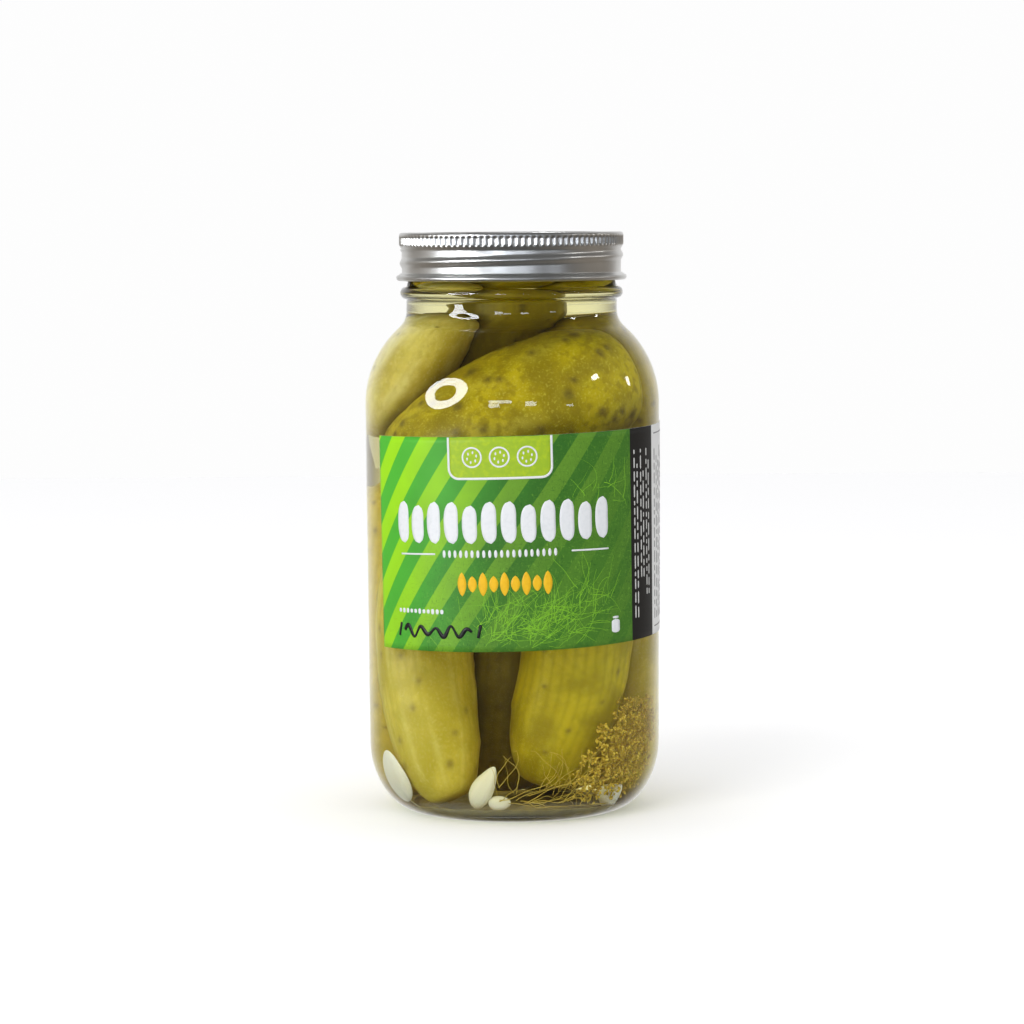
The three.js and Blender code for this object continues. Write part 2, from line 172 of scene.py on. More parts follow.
def thread_rise(
    rings: np.ndarray, start: float, pitch: float, turns: float, half_width: float
) -> np.ndarray:
    """How far a right-handed thread stands out, from 0 to 1: half a cosine across its width,
    along a helix that climbs by the pitch each turn and fades in and out at its ends.

    Args:
        rings: Points about the +Z axis, in mm.
        start: Height at which the thread begins, on the +X side.
        pitch: Climb of one turn.
        turns: Length of the thread in turns.
        half_width: Half of its width.

    Returns:
        One share for each point.
    """
    part_round = (np.arctan2(rings[..., 1], rings[..., 0]) / FULL_TURN) % 1.0
    rise = np.zeros(part_round.shape)
    for turn in range(math.ceil(turns)):
        along = part_round + turn
        fade = np.clip(THREAD_FADES * np.minimum(along, turns - along), 0.0, 1.0)
        off = np.minimum(np.abs(rings[..., 2] - start - along * pitch) / half_width, 1.0)
        rise = np.maximum(rise, fade * 0.5 * (1.0 + np.cos(math.pi * off)))
    return rise


@dataclass
class Shape:
    """Vertices in mm with their faces, and what is known at each vertex."""

    vertices: np.ndarray
    faces: np.ndarray
    marks: dict[str, np.ndarray] = field(default_factory=dict)
    flat: np.ndarray | None = None
    finish: np.ndarray | None = None

    def object(self, name: str, *materials: bpy.types.Material) -> bpy.types.Object:
        """Writes the shape as a smooth mesh object at the origin.

        Args:
            name: Name of the piece.
            materials: Its finishes, numbered as in the array finish.

        Returns:
            The linked object.
        """
        corners = self.faces[self.faces >= 0]
        sizes = (self.faces >= 0).sum(axis=1)
        mesh = bpy.data.meshes.new(name)
        mesh.vertices.add(len(self.vertices))
        mesh.vertices.foreach_set("co", (self.vertices * MM).astype(np.float32).ravel())
        mesh.loops.add(len(corners))
        mesh.loops.foreach_set("vertex_index", corners.astype(np.int32))
        mesh.polygons.add(len(sizes))
        mesh.polygons.foreach_set("loop_start", (np.cumsum(sizes) - sizes).astype(np.int32))
        mesh.update(calc_edges=True)
        mesh.shade_smooth()
        for label, values in self.marks.items():
            mark = mesh.attributes.new(label, "FLOAT", "POINT")
            mark.data.foreach_set("value", values.astype(np.float32).ravel())
        if self.flat is not None:
            layer = mesh.uv_layers.new(name="flat")
            layer.uv.foreach_set("vector", self.flat[corners].astype(np.float32).ravel())
        for material in materials:
            mesh.materials.append(material)
        if self.finish is not None:
            mesh.polygons.foreach_set("material_index", self.finish.astype(np.int32))
        mesh.validate()
        piece = bpy.data.objects.new(name, mesh)
        bpy.context.scene.collection.objects.link(piece)
        return piece


def joined(shapes: Sequence[Shape]) -> Shape:
    """Several shapes as one, with their vertices numbered on.

    Args:
        shapes: The shapes, of which only vertices and faces are kept.

    Returns:
        The one shape.
    """
    starts = np.cumsum([0] + [len(shape.vertices) for shape in shapes[:-1]])
    faces = [np.where(s.faces < 0, -1, s.faces + start) for s, start in zip(shapes, starts)]
    return Shape(np.concatenate([s.vertices for s in shapes]), np.concatenate(faces))


def skin(rings: np.ndarray, ends: Ends = Ends.POLES) -> Shape:
    """A closed skin over a stack of rings, facing outwards when each ring runs to the left
    of the way the stack goes.

    Args:
        rings: Points in mm, as ring, place round the ring, and x, y, z.
        ends: Whether the first and last ring shrink to poles or follow each other.

    Returns:
        The shape, with four-cornered faces and triangles at its poles.
    """
    count, sides = rings.shape[:2]
    if ends is Ends.LOOP:
        vertices = rings.reshape(-1, 3)
        lower = np.arange(count * sides).reshape(count, sides)
        upper = np.roll(lower, -1, axis=0)
        caps = np.empty((0, 4), int)
    else:
        vertices = np.vstack([rings[0].mean(0), rings[1:-1].reshape(-1, 3), rings[-1].mean(0)])
        number = 1 + np.arange((count - 2) * sides).reshape(count - 2, sides)
        lower, upper = number[:-1], number[1:]
        first, last = number[0], number[-1]
        foot = stacked(0, np.roll(first, -1), first, -1)
        head = stacked(last, np.roll(last, -1), len(vertices) - 1, -1)
        caps = np.vstack([foot, head])
    quads = stacked(lower, np.roll(lower, -1, 1), np.roll(upper, -1, 1), upper)
    return Shape(vertices, np.vstack([quads.reshape(-1, 4), caps]))


def per_vertex(values: np.ndarray) -> np.ndarray:
    """Values on a stack of rings, in the order of the vertices of a skin with poles.

    Args:
        values: One value for each place on each ring.

    Returns:
        One value for each vertex, a pole taking the mean of its ring.
    """
    foot, head = (values[end].mean(0, keepdims=True) for end in (0, -1))
    return np.concatenate([foot, values[1:-1].ravel(), head])


def tube(path: np.ndarray, radius: np.ndarray | float, sides: int) -> Shape:
    """A round rod along a path, drawn together at both ends: at each point a circle across
    the way the path runs, set out from a guide that the path doesn't follow.

    Args:
        path: Points of the middle line, in mm.
        radius: Radius at each point, in mm.
        sides: Points round the rod.

    Returns:
        The closed shape.
    """
    heading = unit(np.gradient(path, axis=0))
    steep = np.abs(heading[:, 2]).mean() >= STEEP
    side = unit(np.cross([1.0, 0.1, 0.0] if steep else [0.31, 0.22, 0.93], heading))
    other = np.cross(heading, side)
    angle = around(sides)[:, None]
    ring = side[:, None] * np.cos(angle) + other[:, None] * np.sin(angle)
    size = np.broadcast_to(np.asarray(radius, float), (len(path),))[:, None, None]
    rings = path[:, None] + ring * size
    first, last = np.repeat(path[:1], sides, 0)[None], np.repeat(path[-1:], sides, 0)[None]
    return skin(np.concatenate([first, rings, last]))


def settle(piece: bpy.types.Object, slot: str, *nodes: str) -> bpy.types.Object:
    """Hides the solids that a piece stands for and lets it ride on the jar.

    Args:
        piece: The finished piece.
        slot: Not used.
        nodes: Solids that the piece replaces.

    Returns:
        The same piece.
    """
    if nodes:
        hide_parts(*nodes)
    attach(piece, BODY)
    LOG.info("%s: %d faces", piece.name, len(piece.data.polygons))
    return piece


# Finishes


class Graph:
    """Adds and wires shader nodes in one node tree."""

    def __init__(self, tree: bpy.types.NodeTree) -> None:
        """Starts with an empty tree."""
        tree.nodes.clear()
        self.tree = tree

    def node(
        self, kind: str, inputs: dict[str | int, object] | None = None, **settings: object
    ) -> bpy.types.Node:
        """Adds a node.

        Args:
            kind: Its type.
            inputs: For each input, a number, a colour or the socket that feeds it.
            settings: Its properties.

        Returns:
            The node.
        """
        made = self.tree.nodes.new(kind)
        for name, value in settings.items():
            setattr(made, name, value)
        for key, value in (inputs or {}).items():
            if isinstance(value, Socket):
                self.tree.links.new(value, made.inputs[key])
            else:
                made.inputs[key].default_value = value
        return made

    def place(self) -> Socket:
        """Object coordinates, in metres."""
        return self.node("ShaderNodeTexCoord").outputs["Object"]

    def mark(self, name: str) -> Socket:
        """What the mesh holds at each vertex under a name."""
        return self.node("ShaderNodeAttribute", attribute_name=name).outputs["Fac"]

    def stretched(self, place: Socket, scale: Place, turn: Place = (0.0, 0.0, 0.0)) -> Socket:
        """A place turned and then scaled along each axis."""
        inputs = {"Vector": place, "Rotation": turn, "Scale": scale}
        return self.node("ShaderNodeMapping", inputs).outputs["Vector"]

    def noise(self, place: Socket, scale: float, detail: float = 3.0, distortion: float = 0.0) -> Socket:
        """Cloudy noise from 0 to 1."""
        inputs = {"Vector": place, "Scale": scale, "Detail": detail, "Distortion": distortion}
        return self.node("ShaderNodeTexNoise", inputs).outputs["Fac"]

    def calc(self, operation: str, first: object, second: object = 0.0, third: object = 0.0) -> Socket:
        """One sum of the Math node."""
        node = self.node("ShaderNodeMath", {0: first, 1: second, 2: third}, operation=operation)
        return node.outputs[0]

    def line(self, value: object, slope: object, start: object) -> Socket:
        """A value times a slope, plus a start."""
        return self.calc("MULTIPLY_ADD", value, slope, start)

    def span(self, value: object, low: float, high: float) -> Socket:
        """Rises smoothly from 0 at low to 1 at high.

        Args:
            value: A number or the socket that gives it.
            low: Where it starts to rise.
            high: Where it is full; below low the rise is turned round.

        Returns:
            The socket of the rise.
        """
        inputs = {"Value": value, "From Min": low, "From Max": high}
        node = self.node("ShaderNodeMapRange", inputs, interpolation_type="SMOOTHSTEP")
        return node.outputs["Result"]

    def blend(self, factor: object, first: object, second: object) -> Socket:
        """A mix of two colours, each a socket or a colour.

        Args:
            factor: Share of the second colour.
            first: Colour where the factor is 0.
            second: Colour where it is 1.

        Returns:
            The socket of the mixed colour.
        """
        paints = [c if isinstance(c, Socket) else (*c, 1.0) for c in (first, second)]
        inputs = {0: factor, 6: paints[0], 7: paints[1]}
        return self.node("ShaderNodeMix", inputs, data_type="RGBA", blend_type="MIX").outputs[2]

    def over(self, paint: Socket, colour: Colour, share: Socket, most: object) -> Socket:
        """A colour laid over a paint, by a share times the most that it may cover."""
        return self.blend(self.calc("MULTIPLY", share, most), paint, colour)

    def bump(self, height: Socket, depth: float) -> Socket:
        """A normal raised by a height of 0 to 1 times a depth in mm."""
        inputs = {"Height": height, "Distance": depth * MM, "Strength": 1.0}
        return self.node("ShaderNodeBump", inputs).outputs["Normal"]

    def surface(self, inputs: dict[str, object]) -> bpy.types.Node:
        """A Principled shader.

        Args:
            inputs: For each input, a number, a colour of three numbers or a socket.

        Returns:
            The shader's node.
        """
        paints = {
            key: (*value, 1.0) if isinstance(value, tuple) and "Radius" not in key else value
            for key, value in inputs.items()
        }
        return self.node("ShaderNodeBsdfPrincipled", paints)

    def output(self, surface: Socket, volume: Socket | None = None) -> None:
        """Ends the tree in a material output."""
        inputs = {"Surface": surface} | ({"Volume": volume} if volume else {})
        self.node("ShaderNodeOutputMaterial", inputs)


def new_material(name: str) -> tuple[bpy.types.Material, Graph]:
    """A material with an empty node tree.

    Args:
        name: Its name.

    Returns:
        The material and what adds its nodes.
    """
    material = bpy.data.materials.new(name)
    material.use_nodes = True
    return material, Graph(material.node_tree)


@dataclass(frozen=True)
class Clear:
    """Something clear that bends light, and lets light from lamps through unbent."""

    name: str
    tint: Colour
    ior: float
    mirror: float = 1.0
    soak: Colour = WHITE
    soak_density: float = 0.0
    waver: float = 0.02

    def material(self) -> bpy.types.Material:
        """Builds the finish.

        Returns:
            The material, with plain absorption inside where soak_density is above 0.
        """
        made, graph = new_material(self.name)
        streaks = graph.noise(graph.stretched(graph.place(), (1.0, 1.0, 0.25)), 60.0)
        surface = graph.surface({
            "Base Color": self.tint,
            "Roughness": 0.0,
            "IOR": self.ior,
            "Transmission Weight": 1.0,
            "Specular Tint": (self.mirror, self.mirror, self.mirror),
            "Normal": graph.bump(streaks, self.waver),
        })
        through = graph.node("ShaderNodeBsdfTransparent", {"Color": (*self.tint, 1.0)})
        rays = graph.node("ShaderNodeLightPath")
        shader = surface.outputs[0]
        for kind in ("Is Diffuse Ray", "Is Shadow Ray"):
            inputs = {0: rays.outputs[kind], 1: shader, 2: through.outputs[0]}
            shader = graph.node("ShaderNodeMixShader", inputs).outputs[0]
        volume = None
        if self.soak_density:
            inputs = {"Color": (*self.soak, 1.0), "Density": self.soak_density}
            volume = graph.node("ShaderNodeVolumeAbsorption", inputs).outputs[0]
        graph.output(shader, volume)
        return made


@dataclass(frozen=True)
class Tinplate:
    """Drawn bright metal with fine lines round the axis and faint handling smears."""

    name: str
    shine: Colour
    roughness: float
    anisotropy: float
    smeared: float = 0.8
    line_depth: float = 0.006

    def material(self) -> bpy.types.Material:
        """Builds the finish.

        Returns:
            The material, darker and rougher where it is smeared.
        """
        made, graph = new_material(self.name)
        place = graph.place()
        lines = graph.noise(graph.stretched(place, (90.0, 90.0, 9000.0)), 1.0, 2.0)
        smear = graph.noise(place, 70.0, 4.0)
        dark = tuple(self.smeared * part for part in self.shine)
        tangent = graph.node("ShaderNodeTangent", direction_type="RADIAL", axis="Z")
        surface = graph.surface({
            "Base Color": graph.blend(graph.span(smear, 0.35, 0.75), self.shine, dark),
            "Metallic": 1.0,
            "Roughness": graph.line(smear, 0.12, self.roughness - 0.06),
            "Anisotropic": self.anisotropy,
            "Tangent": tangent.outputs[0],
            "Normal": graph.bump(lines, self.line_depth),
        })
        graph.output(surface.outputs[0])
        return made


@dataclass(frozen=True)
class PickleSkin:
    """Brined cucumber skin: mottled olive, paler ribs, dark warts, light seeping through, and painted shade
    where other pickles touch it.
    """

    name: str
    ground: Colour
    shade: Colour
    rib: Colour
    wart: Colour = (0.16, 0.12, 0.018)
    speckle: float = 0.35
    # pressed: colour of the painted shade where other pickles lie close
    pressed: Colour = (0.15, 0.11, 0.004)
    streak_cover: float = 0.55
    halo_cover: float = 0.28
    wart_cover: Range = (0.55, 0.35)
    pressed_cover: float = 0.8
    seep: float = 0.45
    seep_reach: float = 3.5
    grain_depth: float = 0.06

    def material(self) -> bpy.types.Material:
        """Builds the finish.

        Returns:
            The material, which reads the marks rib, streak, wart, halo and pressed of the mesh; pressed
            lays painted shade where other pickles lie close.
        """
        made, graph = new_material(self.name)
        place = graph.place()
        cloud = graph.span(graph.noise(place, 55.0, 4.0, 0.6), 0.38, 0.68)
        fleck = graph.span(graph.noise(place, 1300.0, 4.0), 0.50, 0.74)
        pits = graph.span(graph.noise(place, 380.0, 6.0), 0.54, 0.34)
        patchy = graph.span(graph.noise(place, 900.0, 2.0), 0.75, 0.35)
        broken = graph.span(graph.noise(place, 45.0), 0.38, 0.8)
        grain = graph.noise(place, 1500.0, 2.0)
        least, more = self.wart_cover
        paint = graph.blend(cloud, self.ground, self.shade)
        paint = graph.blend(graph.calc("MULTIPLY", graph.mark("rib"), broken), paint, self.rib)
        paint = graph.over(paint, self.shade, graph.mark("streak"), self.streak_cover)
        paint = graph.over(paint, self.rib, fleck, self.speckle)
        paint = graph.over(paint, self.shade, pits, self.speckle)
        paint = graph.over(paint, self.wart, graph.mark("halo"), self.halo_cover)
        paint = graph.over(paint, self.wart, graph.mark("wart"), graph.line(patchy, more, least))
        # painted shade: the skin is darker where other pickles lie close
        shaded = graph.span(graph.mark("pressed"), 0.1, 1.0)
        paint = graph.over(paint, self.pressed, shaded, self.pressed_cover)
        surface = graph.surface({
            "Base Color": paint,
            "Roughness": 0.38,
            "Specular IOR Level": 0.18,
            "Subsurface Weight": self.seep,
            "Subsurface Radius": (1.0, 0.75, 0.2),
            "Subsurface Scale": self.seep_reach * MM,
            "Normal": graph.bump(grain, self.grain_depth),
        })
        graph.output(surface.outputs[0])
        return made


@dataclass(frozen=True)
class Soft:
    """Soaked garlic or dill: a pale ground with darker clouds and light seeping through."""

    name: str
    ground: Colour
    cloud: Colour
    scale: float
    seep: float
    seep_reach: float
    fibre_depth: float = 0.05

    def material(self) -> bpy.types.Material:
        """Builds the finish.

        Returns:
            The material, with fine fibres that run upwards.
        """
        made, graph = new_material(self.name)
        place = graph.place()
        cloud = graph.span(graph.noise(place, self.scale, 4.0, 0.4), 0.35, 0.75)
        fibre = graph.noise(graph.stretched(place, (1.0, 1.0, 0.25)), 1400.0, 2.0)
        surface = graph.surface({
            "Base Color": graph.blend(cloud, self.ground, self.cloud),
            "Roughness": 0.45,
            "Specular IOR Level": 0.2,
            "Subsurface Weight": self.seep,
            "Subsurface Radius": (1.0, 0.8, 0.5),
            "Subsurface Scale": self.seep_reach * MM,
            "Normal": graph.bump(fibre, self.fibre_depth),
        })
        graph.output(surface.outputs[0])
        return made


@dataclass(frozen=True)
class Ink:
    """Printed ink on coated paper, slightly uneven in depth."""

    name: str
    colour: Colour
    worn: Colour
    roughness: float = 0.42
    grain_depth: float = 0.01

    def material(self) -> bpy.types.Material:
        """Builds the finish.

        Returns:
            The material, duller where the ink is worn.
        """
        made, graph = new_material(self.name)
        spread = graph.noise(graph.place(), 700.0, 3.0)
        surface = graph.surface({
            "Base Color": graph.blend(graph.span(spread, 0.4, 0.8), self.colour, self.worn),
            "Roughness": graph.line(spread, 0.1, self.roughness),
            "Specular IOR Level": 0.2,
            "Normal": graph.bump(spread, self.grain_depth),
        })
        graph.output(surface.outputs[0])
        return made


# The glass


@dataclass
class GlassJar:
    """The pressed glass: foot ring and punt, heel, wall, shoulder, neck bead, thread, rim."""

    steps: int = 300
    foot: float = 34.3
    foot_inner: float = 29.5
    punt: float = 1.4
    heel_top: float = 21.5
    heel_power: float = 1.09
    wall_low: float = 48.2
    wall_high: float = 48.67
    shoulder_start: float = 134.3
    shoulder: float = 34.0
    sweep: float = 48.2
    neck: float = 34.8
    bead: tuple[float, float, float] = (171.05, 2.0, 2.05)
    thread_root: float = 33.9
    thread_reach: float = 1.1
    thread_start: float = 177.2
    thread_lead: float = 1.8
    thread_end: float = 1.4
    thread_pitch: float = 5.08
    thread_turns: float = 1.25
    thread_half_width: float = 1.3
    rim: float = 33.2
    rim_height: float = 188.7
    rim_round: float = 0.8
    mouth: float = 30.6
    mouth_round: float = 0.6
    throat: float = 1.0
    thickness: float = 2.8
    floor: float = 4.0
    floor_rise: float = 0.5
    inner_heel_top: float = 17.6
    inner_floor: float = 27.0
    wetted: float = 178.0
    uneven_inside: float = 0.12
    uneven_outside: float = 0.025
    uneven_from: Range = (9.0, 30.0)
    uneven_to: Range = (150.0, 165.0)
    uneven_length: float = 21.0
    tint: Colour = (0.955, 0.975, 0.95)
    ior: float = 1.5
    wetted_mirror: float = 0.06

    def wall(self, height: np.ndarray | float) -> np.ndarray:
        """Radius of the outside between heel and shoulder."""
        part = (np.asarray(height, float) - self.heel_top) / (self.shoulder_start - self.heel_top)
        return self.wall_low + (self.wall_high - self.wall_low) * np.clip(part, 0.0, 1.0)

    def inside(self, height: np.ndarray | float) -> np.ndarray:
        """Radius of the inside below the shoulder: the floor's rim plus what the inner heel
        gains, a sine to the heel's power.

        Args:
            height: Height over the base, in mm.

        Returns:
            The radius at each height, in mm.
        """
        base = self.floor + self.floor_rise
        part = np.clip((np.asarray(height, float) - base) / (self.inner_heel_top - base), 0.0, 1.0)
        sine = np.sqrt(1.0 - (1.0 - part) ** (2.0 / self.heel_power))
        widest = self.wall(height) - self.thickness
        return self.inner_floor + (widest - self.inner_floor) * sine**self.heel_power

    def heel(self, foot: Sequence[float], wall: Sequence[float], steps: int) -> np.ndarray:
        """A quarter turn from a foot to a wall: sine and cosine each to the heel's power.

        Args:
            foot: Radius and height where it starts.
            wall: Radius and height where it ends.
            steps: How many segments.

        Returns:
            Radius and height, point by point.
        """
        angle = np.linspace(0.0, math.pi / 2.0, steps + 1)
        across = np.sin(angle) ** self.heel_power
        up = 1.0 - np.cos(angle) ** self.heel_power
        return stacked(foot[0] + (wall[0] - foot[0]) * across, foot[1] + (wall[1] - foot[1]) * up)

    @property
    def shoulder_centre(self) -> float:
        """Radius at which the shoulder's arc is centred."""
        return self.wall_high - self.shoulder

    @property
    def fillet(self) -> float:
        """Radius of the hollow curve from shoulder to neck."""
        cosine = math.cos(math.radians(self.sweep))
        return (self.shoulder_centre + self.shoulder * cosine - self.neck) / (1.0 - cosine)

    @property
    def fillet_top(self) -> float:
        """Height at which the hollow curve meets the neck."""
        return self.shoulder_start + (self.shoulder + self.fillet) * math.sin(math.radians(self.sweep))

    def inner_profile(self) -> np.ndarray:
        """The inside from the middle of the floor up to the mouth.

        Returns:
            Radius and height, point by point.
        """
        bore = self.shoulder - self.thickness
        turn = math.degrees(math.acos((self.mouth + self.throat - self.shoulder_centre) / bore))
        low = self.wall_low - self.thickness
        rise = np.linspace(0.0, self.inner_floor, 9)[:-1]
        floor = stacked(rise, self.floor + self.floor_rise * (rise / self.inner_floor) ** 2)
        heel = self.heel((self.inner_floor, self.floor + self.floor_rise), (low, self.inner_heel_top), 22)
        wall = straight(heel[-1], (self.wall_high - self.thickness, self.shoulder_start), 26)
        shoulder = arc(self.shoulder_centre, self.shoulder_start, bore, (0.0, turn), 26)[1:]
        throat = straight(shoulder[-1], (self.mouth, self.fillet_top + self.throat), 5)
        return np.concatenate([floor, heel, wall, shoulder, throat])

    def profile(self) -> np.ndarray:
        """The outline from the middle of the base, up the outside and down the inside.

        Returns:
            Radius and height, point by point.
        """
        rise = np.linspace(0.0, self.foot_inner, 12)
        punt = stacked(rise, self.punt * (1.0 - (rise / self.foot_inner) ** 6))
        heel = self.heel((self.foot, 0.0), (self.wall_low, self.heel_top), 30)
        wall = straight(heel[-1], (self.wall_high, self.shoulder_start), 28)
        bend, back = (0.0, self.sweep), (180.0 + self.sweep, 180.0)
        shoulder = arc(self.shoulder_centre, self.shoulder_start, self.shoulder, bend, 30)[1:]
        hollow = arc(self.neck + self.fillet, self.fillet_top, self.fillet, back, 12)[1:]
        height, reach, half = self.bead
        neck = straight(hollow[-1], (self.neck, height - half), 3)
        bead = arc(self.neck, height, (reach, half), (-90.0, 90.0), 16)[1:]
        low, high = self.thread_start - self.thread_lead, self.rim_height - self.thread_end
        thread = straight((self.thread_root, low), (self.thread_root, high), 40)
        corner, lip = self.rim_round, self.mouth_round
        rim = np.concatenate([
            arc(self.rim - corner, self.rim_height - corner, corner, (0.0, 90.0), 5),
            arc(self.mouth + lip, self.rim_height - lip, lip, (90.0, 180.0), 5),
        ])
        inner = self.inner_profile()[::-1]
        bore = straight(rim[-1], inner[0], 14)
        outside = [punt, heel, wall, shoulder, hollow, neck, bead, thread]
        return np.concatenate([*outside, rim, bore, inner[1:]])

    def build(self) -> bpy.types.Object:
        """Makes the glass, with its thread raised and its inside slightly uneven.

        Returns:
            The glass, which mirrors little where the brine wets it.
        """
        profile = self.profile()
        height = profile[:, 1]
        rings = turned(profile, self.steps)
        root = np.abs(profile[:, 0] - self.thread_root) < NEAR
        rise = np.zeros(rings.shape[:2])
        pitch, turns = self.thread_pitch, self.thread_turns
        thread = thread_rise(rings, self.thread_start, pitch, turns, self.thread_half_width)
        rise[root] = self.thread_reach * thread[root]
        within = np.arange(len(profile)) > int(np.argmax(height))
        body = smooth_step(height, *self.uneven_from) * (1.0 - smooth_step(height, *self.uneven_to))
        depth = body * np.where(within, self.uneven_inside, self.uneven_outside)
        rise += depth[:, None] * lumps(rings, self.uneven_length, 5)
        shape = skin(pushed(rings, rise))
        wet = per_vertex((within & (height < self.wetted))[:, None] & np.ones(self.steps, bool))
        shape.finish = wet[shape.faces[:, 0]].astype(int)
        dry = Clear("clear_glass", self.tint, self.ior).material()
        soaked = Clear("wetted_glass", self.tint, self.ior, mirror=self.wetted_mirror).material()
        return settle(shape.object("clear_glass", dry, soaked), "glass", "glass_jar")


@dataclass
class Brine:
    """The liquid round the pickles, reaching just into the glass, with a curved-up edge."""

    jar: GlassJar
    reach: float = 0.35
    climb: float = 0.9
    climb_width: float = 1.1
    ior: float = 1.34
    soak: Colour = (0.95, 0.84, 0.12)
    soak_density: float = 16.0
    wall_mirror: float = 0.05

    def profile(self) -> np.ndarray:
        """From the middle of the floor along the glass to the level, and back to the axis.

        Returns:
            Radius and height, point by point.
        """
        inner = self.jar.inner_profile()
        heading = unit(np.gradient(inner, axis=0))
        wet = inner + self.reach * stacked(heading[:, 1], -heading[:, 0])
        wet[0, 0] = 0.0
        level = self.jar.wetted
        wet = wet[wet[:, 1] < level]
        edge = float(np.interp(level, inner[:, 1], inner[:, 0]))
        off = np.concatenate([[-self.reach], np.linspace(0.0, 5.0 * self.climb_width, 16)])
        climb = self.climb * np.exp(-np.maximum(off, 0.0) / self.climb_width)
        top = stacked(edge - off, level + climb)
        flat = straight(top[-1], (0.0, level), 8)
        return np.concatenate([wet, top, flat])

    def build(self) -> bpy.types.Object:
        """Makes the brine, its open surface mirroring more than where it meets the glass.

        Returns:
            The brine, which stands for no solid.
        """
        shape = skin(turned(self.profile(), self.jar.steps))
        shape.finish = (shape.vertices[shape.faces[:, 0], 2] > self.jar.wetted - 0.01).astype(int)
        soak = {"tint": WHITE, "ior": self.ior, "soak": self.soak, "soak_density": self.soak_density}
        held = Clear("brine", mirror=self.wall_mirror, **soak)
        surface = Clear("brine_surface", **soak)
        piece = shape.object("brine_round_pickles", held.material(), surface.material())
        return settle(piece, "brine")


# The two-piece lid


@dataclass
class ScrewBand:
    """The open-topped band: rolled curl, pressed thread, knurled rim and top flange."""

    curl: float = 37.1
    curl_tube: float = 0.95
    curl_height: float = 176.0
    curl_turn: Range = (-108.0, 81.0)
    skirt_lift: float = 1.6
    skirt_lead: float = 0.4
    groove: float = 36.2
    bulge: float = 0.75
    sheet: float = 0.6
    top: float = 190.8
    corner: float = 1.0
    inner_corner: float = 0.6
    opening: float = 30.9
    lip: float = 0.3
    knurls: int = 110
    knurl_radius: float = 37.05
    knurl_depth: float = 0.7
    knurl_narrowing: float = 1.4
    knurl_span: Range = (186.3, 189.9)
    knurl_slope: float = 1.1
    knurl_foot: Range = (0.25, 0.1)
    knurl_margin: float = 0.3
    slot_foot: Range = (0.15, 0.75)
    slot_head: Range = (0.75, 0.1)
    thread_lift: float = 2.2
    thread_pitch: float = 5.08
    thread_turns: float = 1.6
    thread_half_width: float = 1.9

    def profile(self) -> np.ndarray:
        """The closed outline from the skirt's foot, round the curl, up and over, and back.

        Returns:
            Radius and height, point by point.
        """
        inner, under = self.groove - self.sheet, self.top - self.sheet
        low, high = self.knurl_span
        start, end = self.curl_height + self.skirt_lift, low - self.knurl_slope
        rim, corner, lip = self.knurl_radius, self.corner, self.lip
        edge = self.opening + lip
        step_in, step_up = self.knurl_foot
        return np.concatenate([
            [(inner, self.curl_height - 0.8 * self.curl_tube)],
            arc(self.curl, self.curl_height, self.curl_tube, self.curl_turn, 14),
            straight((self.curl, start - self.skirt_lead), (self.groove, start), 2),
            straight((self.groove, start), (self.groove, end), 34),
            straight((self.groove, end), (rim - step_in, low + step_up), 4),
            straight((rim, low + self.knurl_margin), (rim, high - self.knurl_margin), 11),
            arc(rim - corner, self.top - corner, corner, (15.0, 90.0), 6),
            straight((rim - corner, self.top), (edge, self.top), 5),
            arc(edge, self.top - lip, lip, (90.0, 270.0), 5),
            straight((edge, under), (inner - self.inner_corner, under), 3),
            straight((inner, under - self.inner_corner), (inner, self.curl_height), 5),
        ])

    def build(self) -> bpy.types.Object:
        """Makes the band: the thread raised from the groove, the knurls pressed as slots.

        Returns:
            The band.
        """
        profile = self.profile()
        rings = turned(profile, 8 * self.knurls)
        low, high = self.knurl_span
        bearing = np.arctan2(rings[..., 1], rings[..., 0])
        skirt = (np.abs(profile[:, 0] - self.groove) < NEAR)[:, None]
        start = self.curl_height + self.thread_lift
        thread = thread_rise(rings, start, self.thread_pitch, self.thread_turns, self.thread_half_width)
        height = rings[..., 2]
        window = smooth_step(height, low + self.slot_foot[0], low + self.slot_foot[1])
        window *= 1.0 - smooth_step(height, high - self.slot_head[0], high - self.slot_head[1])
        slot = (0.5 + 0.5 * np.cos(self.knurls * bearing)) ** self.knurl_narrowing
        outer = (profile[:, 0] > self.knurl_radius - 0.6)[:, None] & (height > low)
        rise = self.bulge * thread * skirt - self.knurl_depth * slot * window * outer
        finish = Tinplate("drawn_tinplate", shine=(0.72, 0.72, 0.705), roughness=0.31, anisotropy=0.45)
        piece = skin(pushed(rings, rise), Ends.LOOP).object("tinplate_band", finish.material())
        return settle(piece, "tinplate", "screw_band")


